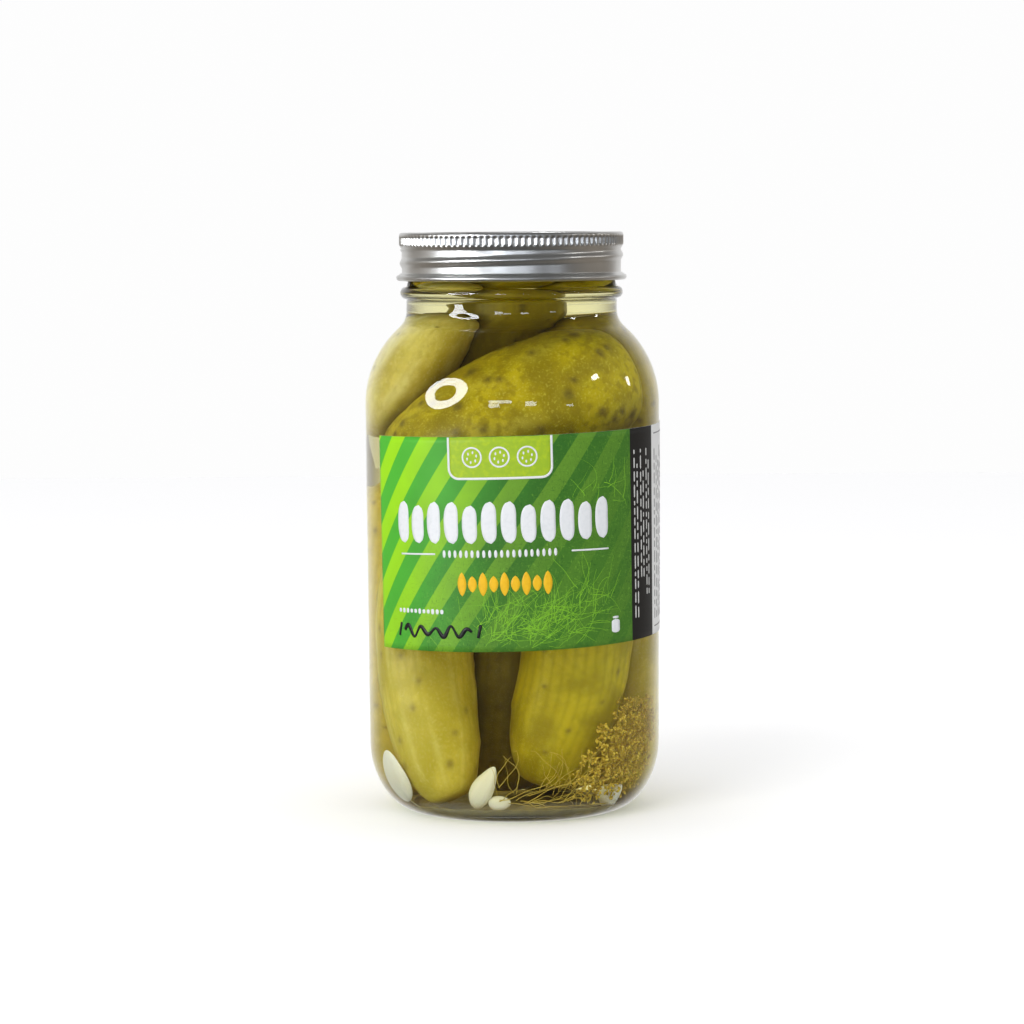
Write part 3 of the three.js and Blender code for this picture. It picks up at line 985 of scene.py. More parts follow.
@dataclass
class LidDisc:
    """The flat lid under the band, with a pressed channel and a slightly raised panel."""

    radius: float = 34.4
    low: float = 189.0
    high: float = 189.8
    edge: float = 0.3
    opening: float = 30.9
    panel: Range = (25.7, 26.7)
    channel_inside: Range = (26.7, 27.3)
    channel_outside: Range = (28.9, 29.7)
    ring_inside: Range = (19.6, 20.2)
    ring_outside: Range = (21.0, 21.6)
    ring_depth: float = 0.12
    panel_rise: float = 0.25
    channel_drop: float = 0.5

    def build(self) -> bpy.types.Object:
        """Makes the disc: the channel and the panel's edge are rounded steps.

        Returns:
            The disc.
        """
        sheet = self.high - self.low
        reach = np.linspace(self.opening - 0.5, 0.0, 60)
        step = smooth_step(reach, *self.panel)
        channel = smooth_step(reach, *self.channel_inside) - smooth_step(reach, *self.channel_outside)
        ring = smooth_step(reach, *self.ring_inside) - smooth_step(reach, *self.ring_outside)
        relief = self.panel_rise * (1.0 - step) - self.channel_drop * channel
        rise = self.high + sheet * relief - self.ring_depth * ring
        rim, edge = self.radius - self.edge, self.edge
        profile = np.concatenate([
            [(0.0, self.low)],
            straight((0.0, self.low), (rim, self.low), 6),
            arc(rim, self.low + edge, edge, (-60.0, 60.0), 4),
            straight((rim, self.high), (self.opening, self.high), 3),
            stacked(reach, rise),
        ])
        finish = Tinplate("pressed_tinplate", shine=(0.78, 0.78, 0.77), roughness=0.3, anisotropy=0.0)
        piece = skin(turned(profile, 200)).object("pressed_lid", finish.material())
        return settle(piece, "lid", "lid_disc")


# The label


@dataclass(frozen=True)
class PrintedPaper:
    """The sheet's printed face on its own flat map in mm: diagonal stripes from lime to deep
    green with feathery flecks, a dark strip with the small print, and a white end."""

    lime: Colour = (0.37, 0.80, 0.006)
    leaf: Colour = (0.085, 0.52, 0.035)
    moss: Colour = (0.135, 0.31, 0.025)
    deep: Colour = (0.032, 0.155, 0.016)
    fleck: Colour = (0.22, 0.50, 0.05)
    hollow: Colour = (0.012, 0.075, 0.012)
    strip: Colour = (0.018, 0.017, 0.016)
    bare: Colour = (0.80, 0.80, 0.79)
    stripe_width: float = 6.75
    stripe_lean: float = 36.5
    stripe_start: float = 1.05
    stripe_fading: float = 0.8
    dark_from: float = 97.2
    white_from: float = 111.9
    blur: float = 0.05

    def material(self) -> bpy.types.Material:
        """Builds the printed finish.

        Returns:
            The material, which reads the sheet's flat map.
        """
        made, graph = new_material("printed_paper")
        flat = graph.node("ShaderNodeUVMap", uv_map="flat").outputs[0]
        axes = graph.node("ShaderNodeSeparateXYZ", {0: flat})
        along, up = axes.outputs[0], axes.outputs[1]
        lean = math.tan(math.radians(self.stripe_lean))
        slanted = graph.line(up, -lean, along)
        wave = graph.calc("SINE", graph.line(slanted, math.pi / self.stripe_width, self.stripe_start))
        stripe = graph.span(wave, -self.blur, self.blur)
        faint = graph.span(graph.line(up, -0.8, along), 6.0, 56.0)
        even = graph.calc("SUBTRACT", 0.4, stripe)
        stripe = graph.line(even, graph.calc("MULTIPLY", faint, self.stripe_fading), stripe)
        cloud = graph.noise(flat, 0.07, 4.0, 0.5)
        fade = graph.span(graph.line(cloud, 24.0, graph.line(up, -0.28, along)), -6.0, 62.0)
        bright = graph.blend(stripe, self.leaf, self.lime)
        dull = graph.blend(stripe, self.deep, self.moss)
        paint = graph.blend(fade, bright, dull)
        hair = graph.stretched(flat, (1.0, 0.32, 1.0), (0.0, 0.0, 0.7))
        hair = graph.noise(hair, 0.95, 5.0, 2.6)
        cross = graph.stretched(flat, (0.34, 1.0, 1.0), (0.0, 0.0, 0.25))
        cross = graph.noise(cross, 1.0, 5.0, 3.0)
        low = graph.span(graph.line(up, -1.0, along), -25.0, 30.0)
        feather = graph.span(graph.calc("MAXIMUM", hair, cross), 0.60, 0.70)
        paint = graph.over(paint, self.fleck, feather, graph.calc("MULTIPLY", low, 0.45))
        valley = graph.span(graph.calc("MINIMUM", hair, cross), 0.42, 0.30)
        paint = graph.over(paint, self.hollow, valley, graph.calc("MULTIPLY", low, 0.5))
        for begin, colour in ((self.dark_from, self.strip), (self.white_from, self.bare)):
            paint = graph.blend(graph.span(along, begin - self.blur, begin + self.blur), paint, colour)
        grain = graph.noise(graph.place(), 1800.0, 2.0)
        surface = graph.surface({
            "Base Color": paint,
            "Roughness": graph.line(grain, 0.12, 0.42),
            "Specular IOR Level": 0.2,
            "Normal": graph.bump(grain, 0.008),
        })
        graph.output(surface.outputs[0])
        return made


@dataclass
class Label:
    """The paper wrapped round the wall, slightly askew, and the shapes printed on it."""

    jar: GlassJar
    length: float = 177.8
    height: float = 69.0
    start: float = -52.9
    middle: float = 92.0
    tilt: float = 1.3
    gap: float = 0.25
    thickness: float = 0.25
    tuck: float = -0.05
    face: float = 0.2
    ink: float = 0.035

    def wrapped(self, flat: np.ndarray, lift: np.ndarray | float) -> np.ndarray:
        """Carries places on the flat sheet onto the jar: turned by the tilt, then the distance
        along becomes an angle round the jar and the lift a distance from its wall.

        Args:
            flat: Distance along from the left edge and up from the lower edge, in mm.
            lift: Distance from the glass, in mm.

        Returns:
            Places in mm.
        """
        tilt = math.radians(self.tilt)
        along = self.start + flat[..., 0]
        up = flat[..., 1] - self.height / 2.0
        height = self.middle + up * math.cos(tilt) + along * math.sin(tilt)
        reach = self.jar.wall_high + self.gap + self.thickness
        bearing = (along * math.cos(tilt) - up * math.sin(tilt)) / reach
        radius = self.jar.wall(height) + lift
        return stacked(radius * np.sin(bearing), -radius * np.cos(bearing), height)

    def plate(self, flat: np.ndarray, low: float, high: float, closed: bool = False) -> Shape:
        """A thin closed plate over a grid on the flat sheet.

        Args:
            flat: Places on the sheet as row, column and distance; the columns run to the right
                of the way the rows go.
            low: Distance of its back from the glass.
            high: Distance of its face from the glass.
            closed: Whether the last row is followed by the first.

        Returns:
            The shape.
        """
        rows, columns = flat.shape[:2]
        count = rows * columns
        number = np.arange(count).reshape(rows, columns)
        after = np.roll(number, -1, axis=0) if closed else number[1:]
        here = number if closed else number[:-1]
        face = stacked(here[:, :-1], here[:, 1:], after[:, 1:], after[:, :-1]).reshape(-1, 4)
        rim = [stacked(after[:, 0], here[:, 0]), stacked(here[:, -1], after[:, -1])]
        if not closed:
            rim.append(stacked(number[0, :-1], number[0, 1:]))
            rim.append(stacked(number[-1, 1:], number[-1, :-1]))
        start, end = np.concatenate(rim).T
        wall = stacked(start + count, end + count, end, start)
        vertices = [self.wrapped(flat, lift).reshape(-1, 3) for lift in (high, low)]
        return Shape(np.concatenate(vertices), np.concatenate([face, face[:, ::-1] + count, wall]))

    def blade(
        self, centre: Sequence[float], size: Sequence[float], round_part: float, rows: int = 14
    ) -> Shape:
        """An upright printed shape: a bar whose ends are rounded over a part of its height.

        Args:
            centre: Its middle on the flat sheet.
            size: Width and height.
            round_part: Share of the half height over which an end draws in like an ellipse.
            rows: Steps from foot to head.

        Returns:
            The ink plate.
        """
        place = -np.cos(np.linspace(0.02, math.pi - 0.02, rows))[:, None]
        past = np.clip((np.abs(place) - (1.0 - round_part)) / round_part, 0.0, 1.0)
        half = 0.5 * size[0] * np.sqrt(1.0 - past**2)
        across = np.linspace(-1.0, 1.0, max(3, int(size[0] / 1.5) + 2))
        grid = stacked(centre[0] + half * across, centre[1] + 0.5 * size[1] * place)
        return self.plate(grid, self.face - self.ink, self.face + self.ink)

    def stroke(
        self, path: np.ndarray, width: np.ndarray | float, closed: bool = False, lift: float = 1.0
    ) -> Shape:
        """A printed line along a path on the flat sheet.

        Args:
            path: Its middle line.
            width: Its width, the same or at each point.
            closed: Whether it runs back to its start.
            lift: Height of its face over the paper, in layers of ink.

        Returns:
            The ink plate.
        """
        if closed:
            heading = unit(np.roll(path, -1, 0) - np.roll(path, 1, 0))
        else:
            heading = unit(np.gradient(path, axis=0))
        aside = stacked(heading[:, 1], -heading[:, 0])
        half = 0.5 * np.broadcast_to(np.asarray(width, float), (len(path),))
        share = np.linspace(-1.0, 1.0, 2 + int(2.0 * half.max() / 1.2))
        grid = path[:, None] + aside[:, None] * (half[:, None] * share)[..., None]
        return self.plate(grid, self.face - self.ink, self.face + lift * self.ink, closed)

    def paper(self) -> bpy.types.Object:
        """The sheet itself, its face printed and its back and edges bare.

        Returns:
            The sheet, which stands for the label's solid.
        """
        across = np.linspace(0.0, self.length, 181)
        up = np.linspace(0.0, self.height, 36)[:, None]
        flat = stacked(across, up)
        shape = self.plate(flat, self.tuck, self.face)
        shape.flat = np.concatenate([flat.reshape(-1, 2)] * 2)
        faces = (len(up) - 1) * (len(across) - 1)
        shape.finish = (np.arange(len(shape.faces)) >= faces).astype(int)
        back = Ink("bare_paper", colour=(0.78, 0.77, 0.72), worn=(0.70, 0.70, 0.64), roughness=0.6)
        piece = shape.object("paper_label", PrintedPaper().material(), back.material())
        return settle(piece, "label", "label")

    def tab(self) -> tuple[Shape, Shape]:
        """The tab that hangs from the upper edge, with its lower corners round.

        Returns:
            Its lime field and its white outline.
        """
        left, right, foot, head, corner = 32.2, 66.2, 55.6, self.height - 0.15, 3.4
        turn = np.linspace(0.0, math.pi / 2.0, 8)
        low = foot + corner * (1.0 - np.cos(turn))
        rows = np.concatenate([low, np.linspace(foot + corner + 1.0, head, 6)])[:, None]
        drop = np.maximum(foot + corner - rows, 0.0)
        inset = corner - np.sqrt(np.maximum(corner**2 - drop**2, 0.0))
        share = np.linspace(0.0, 1.0, 24)
        grid = stacked((left + inset) * (1.0 - share) + (right - inset) * share, rows)
        fill = self.plate(grid, self.face - self.ink, self.face + 0.4 * self.ink)
        low_left = arc(left + corner, foot + corner, corner, (180.0, 270.0), 8)
        low_right = arc(right - corner, foot + corner, corner, (270.0, 360.0), 8)
        outline = [
            [(left, head)],
            straight((left, head), low_left[0], 6),
            low_left[1:],
            straight(low_left[-1], low_right[0], 20),
            low_right[1:],
            straight(low_right[-1], (right, head), 6),
        ]
        return fill, self.stroke(np.vstack(outline), 0.75)

    def slices(self) -> list[Shape]:
        """Three cut rounds in the tab: a white ring with seeds in it.

        Returns:
            The ink plates.
        """
        made = []
        radius, seeds_at, up, turn = 3.1, 1.6, 62.4, around(28)
        for middle in (40.2, 49.2, 58.2):
            ring = stacked(middle + radius * np.cos(turn), up + radius * np.sin(turn))
            made.append(self.stroke(ring, 0.55, closed=True))
            for seed in range(6):
                way = seed * math.pi / 3.0 + 0.3
                spot = (middle + seeds_at * math.cos(way), up + seeds_at * math.sin(way))
                made.append(self.blade(spot, (0.6, 1.0), 1.0, 7))
        return made

    def gherkins(self) -> list[Shape]:
        """The white title row: upright gherkins, every third one shorter, bent to one side.

        Returns:
            The ink plates.
        """
        made = []
        count, left, right, low, high, girth, shorter = 12, 11.0, 86.4, 34.8, 48.2, 5.0, 1.2
        pitch = (right - left) / (count - 0.25)
        part = np.linspace(0.0, 1.0, 18)
        sway = 0.7 * (2.0 * part - 1.0) ** 2
        width = girth * np.sqrt(np.maximum(1.0 - np.abs(2.0 * part - 1.0) ** 3.2, 0.004))
        for number in range(count):
            middle = left + pitch * (number + 0.38)
            tall = high - low - (shorter if number % 3 == 1 else 0.0)
            made.append(self.stroke(stacked(middle - 0.4 + sway, low + tall * part), width))
        return made

    def small_white(self) -> list[Shape]:
        """The rules with their row of dots, the dashed line, and the corner's jar sign.

        Returns:
            The ink plates.
        """
        rules = (((10.2, 31.1), (26.2, 31.4)), ((70.6, 31.6), (86.3, 31.2)))
        made = [self.stroke(straight(start, end, 10), 0.55) for start, end in rules]
        draw = np.random.default_rng(11)
        dots_at, dot, dashes_at, dash_width, least, more = 31.5, (1.05, 2.5), 12.8, 1.15, 1.3, 0.5
        for along in np.arange(29.6, 68.6, 1.95):
            made.append(self.blade((along, dots_at), dot, 0.9, 9))
        for along in np.arange(10.6, 29.0, 1.75):
            size = (dash_width, least + more * draw.random())
            made.append(self.blade((along, dashes_at), size, 0.6, 7))
        made.append(self.blade((88.9, 5.8), (3.6, 4.4), 0.35, 9))
        made.append(self.blade((88.9, 8.6), (2.6, 0.8), 0.5, 5))
        return made

    def lozenges(self) -> list[Shape]:
        """The yellow row under the rules: pointed seeds, a long one between short ones.

        Returns:
            The ink plates.
        """
        made = []
        count, left, pitch, up, girth, long, short = 9, 35.6, 3.53, 21.8, 2.9, 7.6, 5.2
        part = np.linspace(0.0, 1.0, 15)
        width = 0.1 + girth * np.sin(math.pi * part) ** 0.7
        for number in range(count):
            tall = long if number % 2 == 0 else short
            made.append(self.stroke(stacked(left + pitch * number, up + tall * (part - 0.5)), width))
        return made

    def pen(self) -> list[Shape]:
        """A wavering stroke of a felt pen with a bar at each end.

        Returns:
            The ink plates.
        """
        left, length, up, sway, foot, head = 12.5, 26.0, 6.4, 1.9, 3.9, 8.8
        part = np.linspace(0.0, 1.0, 90)
        wave = sway * np.sin(part * 9.0 * math.pi) * (0.75 + 0.25 * np.sin(part * 11.0))
        thick = 1.15 + 0.35 * np.sin(part * 23.0)
        bars = [self.stroke(straight((x - 0.6, foot), (x + 0.6, head), 8), 1.0) for x in (10.3, 41.0)]
        return [self.stroke(stacked(left + length * part, up + wave), thick), *bars]

    def fronds(self) -> list[Shape]:
        """Feathery dill in light green over the lower right: tangled threads that fan out
        from a few stems, thickest near the lower edge. A tuft has a foot, a way and a count.

        Returns:
            The ink plates of the threads that stay on the green field.
        """
        made = []
        draw = np.random.default_rng(23)
        run = np.linspace(0.0, 1.0, 14)
        lowest, highest, rightmost = 0.6, 68.0, 96.6
        tufts = [
            ((54.0, 5.0), 0.6, 90), ((66.0, 9.0), 1.0, 80), ((46.0, 9.0), 0.3, 40),
            ((76.0, 14.0), 1.3, 26), ((84.0, 48.0), 1.2, 14),
        ]
        for foot, way, count in tufts:
            for _ in range(count):
                turn = way + draw.normal(0.0, 0.75) + draw.normal(0.0, 0.7) * run
                turn += 0.15 * np.sin(7.0 * run + draw.uniform(0.0, 6.0))
                length = draw.uniform(5.0, 17.0)
                start = np.array(foot) + draw.normal(0.0, 1.0, 2) * (7.0, 3.5)
                thread = start + np.cumsum(stacked(np.cos(turn), np.sin(turn)) * length / len(run), axis=0)
                along, up = thread.T
                if up.min() > lowest and up.max() < highest and along.max() < rightmost:
                    width = draw.uniform(0.10, 0.22) * (1.0 - 0.6 * run)
                    made.append(self.stroke(thread, width, lift=0.5))
        return made

    def small_print(self, columns: Sequence[Sequence[float]], seed: int) -> list[Shape]:
        """Broken lines that run up the sheet in place of small print.

        Args:
            columns: For each line its distance along, its foot, its head and its width.
            seed: Seed of the gaps.

        Returns:
            The ink plates.
        """
        draw = np.random.default_rng(seed)
        made = []
        for along, foot, head, width in columns:
            place = foot
            while place < head - 1.0:
                run = min(draw.uniform(1.4, 4.6), head - place)
                made.append(self.blade((along, place + run / 2.0), (width, run), 0.25, 6))
                place += run + draw.uniform(0.7, 1.1)
        return made

    def frame_lines(self) -> list[Shape]:
        """The thin lines over and under the print of the far end."""
        return [self.stroke(straight((113.2, up), (176.4, up), 60), 0.35) for up in (2.6, 66.2)]

    def build(self) -> None:
        """Makes the sheet and each of its inks. A line of print has its distance along, its
        foot, its head and its width."""
        self.paper()
        fill, outline = self.tab()
        white = [outline, *self.slices(), *self.gherkins(), *self.small_white()]
        left, width = 99.4, 0.62
        spans = [(7.0, 62.0), (7.0, 58.0), (20.0, 62.0), (20.0, 56.0), (14.0, 62.0), (14.0, 60.0)]
        steps = (0.0, 1.7, 3.9, 5.6, 7.8, 9.5)
        pale = [(left + step, *span, width) for step, span in zip(steps, spans)]
        grey = [(114.8 + 2.6 * n, 5.0, 63.0 - 3.0 * (n % 3), 0.7) for n in range(23)]
        inks = {
            "ink_tab": ([fill], Ink("lime_ink", (0.34, 0.52, 0.025), (0.46, 0.61, 0.02))),
            "ink_white": (white, Ink("white_ink", (0.83, 0.85, 0.88), (0.76, 0.79, 0.82))),
            "ink_yellow": (self.lozenges(), Ink("yellow_ink", (0.90, 0.53, 0.015), (0.82, 0.46, 0.012))),
            "ink_pen": (self.pen(), Ink("pen_ink", (0.012, 0.012, 0.013), (0.03, 0.03, 0.03), 0.3)),
            "ink_sprigs": (self.fronds(), Ink("sprig_ink", (0.26, 0.60, 0.03), (0.12, 0.34, 0.03))),
            "ink_pale_print": (
                self.small_print(pale, 31),
                Ink("pale_ink", (0.70, 0.70, 0.68), (0.60, 0.60, 0.58)),
            ),
            "ink_grey_print": (
                self.small_print(grey, 37) + self.frame_lines(),
                Ink("grey_ink", (0.22, 0.22, 0.22), (0.32, 0.32, 0.32)),
            ),
        }
        for name, (shapes, ink) in inks.items():
            settle(joined(shapes).object(name, ink.material()), "label")


# What is in the jar


@dataclass
class Pickle:
    """One whole pickle along its bent middle line, with lumps, ribs and warts."""

    name: str
    foot: Place
    head: Place
    bow: Place
    girth: float
    skin: PickleSkin
    seed: int
    warts: int = 46
    wart_size: float = 1.1
    ribs: int = 9
    streaks: float = 1.0
    bluntness: float = 0.62
    taper: float = 0.07
    rings: int = 150
    sides: int = 144
    shade_reach: float = 3.5
    rib_height: float = 0.2
    lump_height: float = 0.32
    lump_length: float = 13.0
    wart_height: float = 0.34
    wart_sizes: Range = (0.65, 1.25)
    wart_span: Range = (0.06, 0.88)
    rib_sway: float = 0.35

    def middle_line(self, part: np.ndarray) -> tuple[np.ndarray, np.ndarray, np.ndarray]:
        """The bent middle line, a quadratic curve from foot to head through a bowed middle.
        Its radius is girth * (sqrt(1 - (2t-1)^2))^bluntness * (1 + taper (1-2t)).

        Args:
            part: How far along it each place lies, from 0 to 1, as a column.

        Returns:
            The places, the way the line runs there, and the radius.
        """
        foot, head = np.array(self.foot), np.array(self.head)
        middle = 0.5 * (foot + head) + 2.0 * np.array(self.bow)
        line = (1 - part) ** 2 * foot + 2 * part * (1 - part) * middle + part**2 * head
        heading = unit(2 * (1 - part) * (middle - foot) + 2 * part * (head - middle))
        across = np.sqrt(np.maximum(0.0, 1.0 - (2.0 * part - 1.0) ** 2))
        radius = self.girth * across**self.bluntness * (1.0 + self.taper * (1.0 - 2.0 * part))
        return line, heading, radius

    def rings_of_skin(self) -> tuple[np.ndarray, np.ndarray, np.ndarray]:
        """The smooth pickle: a circle across the middle line at each place along it.

        Returns:
            The rings in mm, the outward directions, and the part along at each ring.
        """
        part = 0.5 * (1.0 - np.cos(np.linspace(0.0, math.pi, self.rings)))[:, None]
        line, heading, radius = self.middle_line(part)
        side = unit(np.cross([0.0, 1.0, 0.0], heading))
        other = np.cross(heading, side)
        angle = around(self.sides)[:, None]
        out = side[:, None] * np.cos(angle) + other[:, None] * np.sin(angle)
        return line[:, None] + out * radius[..., None], out, part

    def pressed(self, rings: np.ndarray, others: Sequence["Pickle"]) -> np.ndarray:
        """How closely other pickles lie to each place, the mask of the painted shade where they touch:
        e to the power of minus the gap over the reach of that shade.

        Args:
            rings: Places on the skin, in mm.
            others: The pickles round this one.

        Returns:
            From 0 in the open to 1 where they touch.
        """
        gap = np.full(rings.shape[:2], 99.0)
        for other in others:
            line, _, radius = other.middle_line(np.linspace(0.02, 0.98, 32)[:, None])
            for centre, reach in zip(line, radius[:, 0]):
                gap = np.minimum(gap, np.linalg.norm(rings - centre, axis=-1) - reach)
        return np.exp(-np.maximum(gap, 0.0) / self.shade_reach)

    def warted(self, rings: np.ndarray) -> tuple[np.ndarray, np.ndarray]:
        """The warts, set along and round the pickle by the golden angle with some scatter.

        Args:
            rings: Places on the skin, in mm.

        Returns:
            How far each place lies within a wart, and how close it is to one, from 0 to 1.
        """
        draw = np.random.default_rng(self.seed)
        number = np.arange(self.warts)
        first, length = self.wart_span
        along = first + length * (number + draw.uniform(0.0, 1.0, self.warts)) / self.warts
        turn = number * GOLDEN_ANGLE * 2.0 + draw.normal(0.0, 0.25, self.warts)
        row = np.rint(np.arccos(1.0 - 2.0 * along) / math.pi * (self.rings - 1)).astype(int)
        column = np.rint(turn / FULL_TURN * self.sides).astype(int) % self.sides
        size = self.wart_size * draw.uniform(*self.wart_sizes, self.warts)
        wart = np.zeros(rings.shape[:2])
        halo = np.zeros(rings.shape[:2])
        for spot, width in zip(rings[row, column], size):
            off = np.linalg.norm(rings - spot, axis=-1) / width
            wart = np.maximum(wart, 1.0 - smooth_step(off, 0.1, 1.1))
            halo = np.maximum(halo, np.exp(-(off**2) / 1.6))
        return wart, halo

    def build(self, others: Sequence["Pickle"]) -> bpy.types.Object:
        """Makes the pickle: ribs and streaks are cosines round it, which sway along it.

        Args:
            others: The pickles round this one.

        Returns:
            The pickle, with its relief and the marks that its skin reads.
        """
        rings, out, part = self.rings_of_skin()
        angle = around(self.sides)[None]
        body = np.sin(math.pi * part) ** 0.5
        sway = self.rib_sway * np.sin(3.0 * part * math.pi + self.seed)
        rib = 0.5 + 0.5 * np.cos(self.ribs * angle + sway * 3.0 + self.seed)
        streak = 0.5 + 0.5 * np.cos((3 * self.ribs + 2) * angle + 5.0 * sway + 2.0)
        wart, halo = self.warted(rings)
        relief = self.rib_height * (rib - 0.5) * body + self.wart_height * halo
        relief += self.lump_height * lumps(rings, self.lump_length, self.seed) * body
        shape = skin(rings + out * relief[..., None])
        marks = {
            "rib": rib**3 * body,
            "streak": self.streaks * streak**3 * body,
            "wart": wart,
            "halo": halo,
            # pressed: mask of the painted shade where other pickles lie close
            "pressed": self.pressed(rings, others),
        }
        shape.marks = {name: per_vertex(values) for name, values in marks.items()}
        return settle(shape.object(self.name, self.skin.material()), "pickle", "pickles")


@dataclass
class Clove:
    """A garlic clove: plump at its foot, drawn in to a point, flatter on its inner side."""

    where: str
    foot: Place
    tip: Place
    width: float
    depth: float
    taper: float
    seed: int
    flatness: float = 0.55
    folds: int = 5
    fold_depth: float = 0.03
    creases: int = 17
    crease_depth: float = 0.012

    def build(self, finish: bpy.types.Material) -> bpy.types.Object:
        """Makes the clove: ovals across the line from foot to tip, sin t times a taper wide,
        each with a few lengthwise folds and creases.

        Args:
            finish: The garlic's material.

        Returns:
            The clove.
        """
        foot, tip = np.array(self.foot), np.array(self.tip)
        heading = unit(tip - foot)
        outward = unit(np.array([foot[0], foot[1], 0.0]))
        across = unit(np.cross(heading, outward))
        deep = np.cross(heading, across)
        turn = np.linspace(0.0, math.pi, 60)[:, None]
        part = 0.5 * (1.0 - np.cos(turn))
        angle = around(64)[None]
        folds = self.fold_depth * np.cos(self.folds * angle + self.seed) * np.sin(turn)
        creases = self.crease_depth * np.cos(self.creases * angle + 3.0 * part)
        draw = np.sin(turn) * (1.0 - self.taper * part**1.6) * (1.0 + folds + creases)
        flat = np.where(np.sin(angle) < 0.0, self.flatness, 1.0)
        sideways = (self.width * draw * np.cos(angle))[..., None] * across
        inwards = (self.depth * draw * flat * np.sin(angle))[..., None] * -deep
        line = foot + (tip - foot) * part
        rings = line[:, None] + sideways + inwards
        if np.dot(np.cross(across, -deep), heading) < 0.0:
            rings = rings[:, ::-1]
        piece = skin(rings).object(f"clove_{self.where}", finish)
        return settle(piece, "garlic", f"garlic_{self.where}")


@dataclass
class DillHead:
    """The umbel of dill seed against the glass at the lower right, with its stalk."""

    jar: GlassJar
    bearing: float = 57.0
    height: float = 21.4
    radius: float = 42.6
    spread: float = 17.5
    oval: Range = (1.35, 0.8)
    lean: float = 35.0
    lowest: float = 6.9
    seed: int = 71
    rays: int = 48
    seeds_per_ray: int = 17
    tuft: float = 3.0
    tuft_fill: Range = (0.55, 1.0)
    seed_size: Place = (0.38, 0.44, 0.72)
    seed_scales: Range = (0.75, 1.15)
    hub: Place = (0.0, -3.0, 5.0)
    arch: float = 1.2
    ray_depth: Range = (1.5, 4.0)
    ray_radius: Range = (0.26, 0.16)
    thread_radius: float = 0.09
    wall_gap: float = 1.2
    seed_gap: float = 0.95

    def place(self, sideways: float, upwards: float, inwards: float) -> np.ndarray:
        """A place in the umbel, bent round the inside of the jar.

        Args:
            sideways: Distance round the wall from its middle, in mm.
            upwards: Distance up from its middle, in mm.
            inwards: Distance in from the glass, in mm.

        Returns:
            Its x, y and z in mm.
        """
        bearing = math.radians(self.bearing) + sideways / self.radius
        height = self.height + upwards
        radius = np.minimum(self.radius, self.jar.inside(height) - self.wall_gap) - inwards
        return stacked(radius * np.sin(bearing), -radius * np.cos(bearing), height)

    def build(self) -> bpy.types.Object:
        """Makes the rays from one hub, spread by the golden angle over a leaning oval, each
        a quadratic curve with a loose ball of seeds on thin threads at its tip.

        Returns:
            The umbel.
        """
        draw = np.random.default_rng(self.seed)
        number = np.arange(self.rays)
        reach = self.spread * np.sqrt((number + 0.6) / self.rays)
        turn = number * GOLDEN_ANGLE
        lean = math.radians(self.lean)
        long, short = self.oval[0] * reach * np.cos(turn), self.oval[1] * reach * np.sin(turn)
        across = long * math.cos(lean) - short * math.sin(lean)
        up = long * math.sin(lean) + short * math.cos(lean)
        hub = self.place(*self.hub)
        shapes, spots = [], []
        run = np.linspace(0.0, 1.0, 7)[:, None]
        thick, thin = self.ray_radius
        for sideways, upwards in zip(across, up):
            tip = self.place(sideways, upwards, draw.uniform(*self.ray_depth))
            if tip[2] < self.lowest:
                continue
            bend = 0.5 * (hub + tip) + np.array([0.0, 0.0, self.arch])
            path = (1 - run) ** 2 * hub + 2 * run * (1 - run) * bend + run**2 * tip
            shapes.append(tube(path, thick - (thick - thin) * run[:, 0], 6))
            for _ in range(self.seeds_per_ray):
                way = unit(draw.normal(size=3))
                spot = tip + way * self.tuft * draw.uniform(*self.tuft_fill)
                room = float(self.jar.inside(spot[2])) - math.hypot(spot[0], spot[1])
                if spot[2] > self.lowest and room > self.seed_gap:
                    spots.append(spot)
                    shapes.append(tube(np.linspace(tip, spot, 3), self.thread_radius, 4))
        shapes.append(self.grains(np.array(spots), draw))
        finish = Soft("soaked_dill", (0.78, 0.58, 0.07), (0.46, 0.29, 0.03), 900.0, 0.15, 0.6)
        piece = joined(shapes).object("dill_umbel", finish.material())
        return settle(piece, "dill", "dill_head")

    def grains(self, spots: np.ndarray, draw: np.random.Generator) -> Shape:
        """Small oval seeds: one small ball, scaled, and turned at random at each spot.

        Args:
            spots: Middles of the seeds, in mm.
            draw: What the turns and sizes are drawn from.

        Returns:
            All the seeds as one shape.
        """
        turn = np.linspace(0.0, math.pi, 6)[:, None]
        angle = around(8)[None]
        grain = skin(stacked(np.sin(turn) * np.cos(angle), np.sin(turn) * np.sin(angle), -np.cos(turn)))
        spin, _ = np.linalg.qr(draw.normal(size=(len(spots), 3, 3)))
        spin *= np.sign(np.linalg.det(spin))[:, None, None]
        scale = draw.uniform(*self.seed_scales, len(spots))[:, None, None]
        vertices = (grain.vertices * np.array(self.seed_size)) @ spin * scale + spots[:, None]
        step = (np.arange(len(spots)) * len(grain.vertices))[:, None, None]
        faces = np.where(grain.faces[None] < 0, -1, grain.faces[None] + step)
        return Shape(vertices.reshape(-1, 3), faces.reshape(-1, 4))


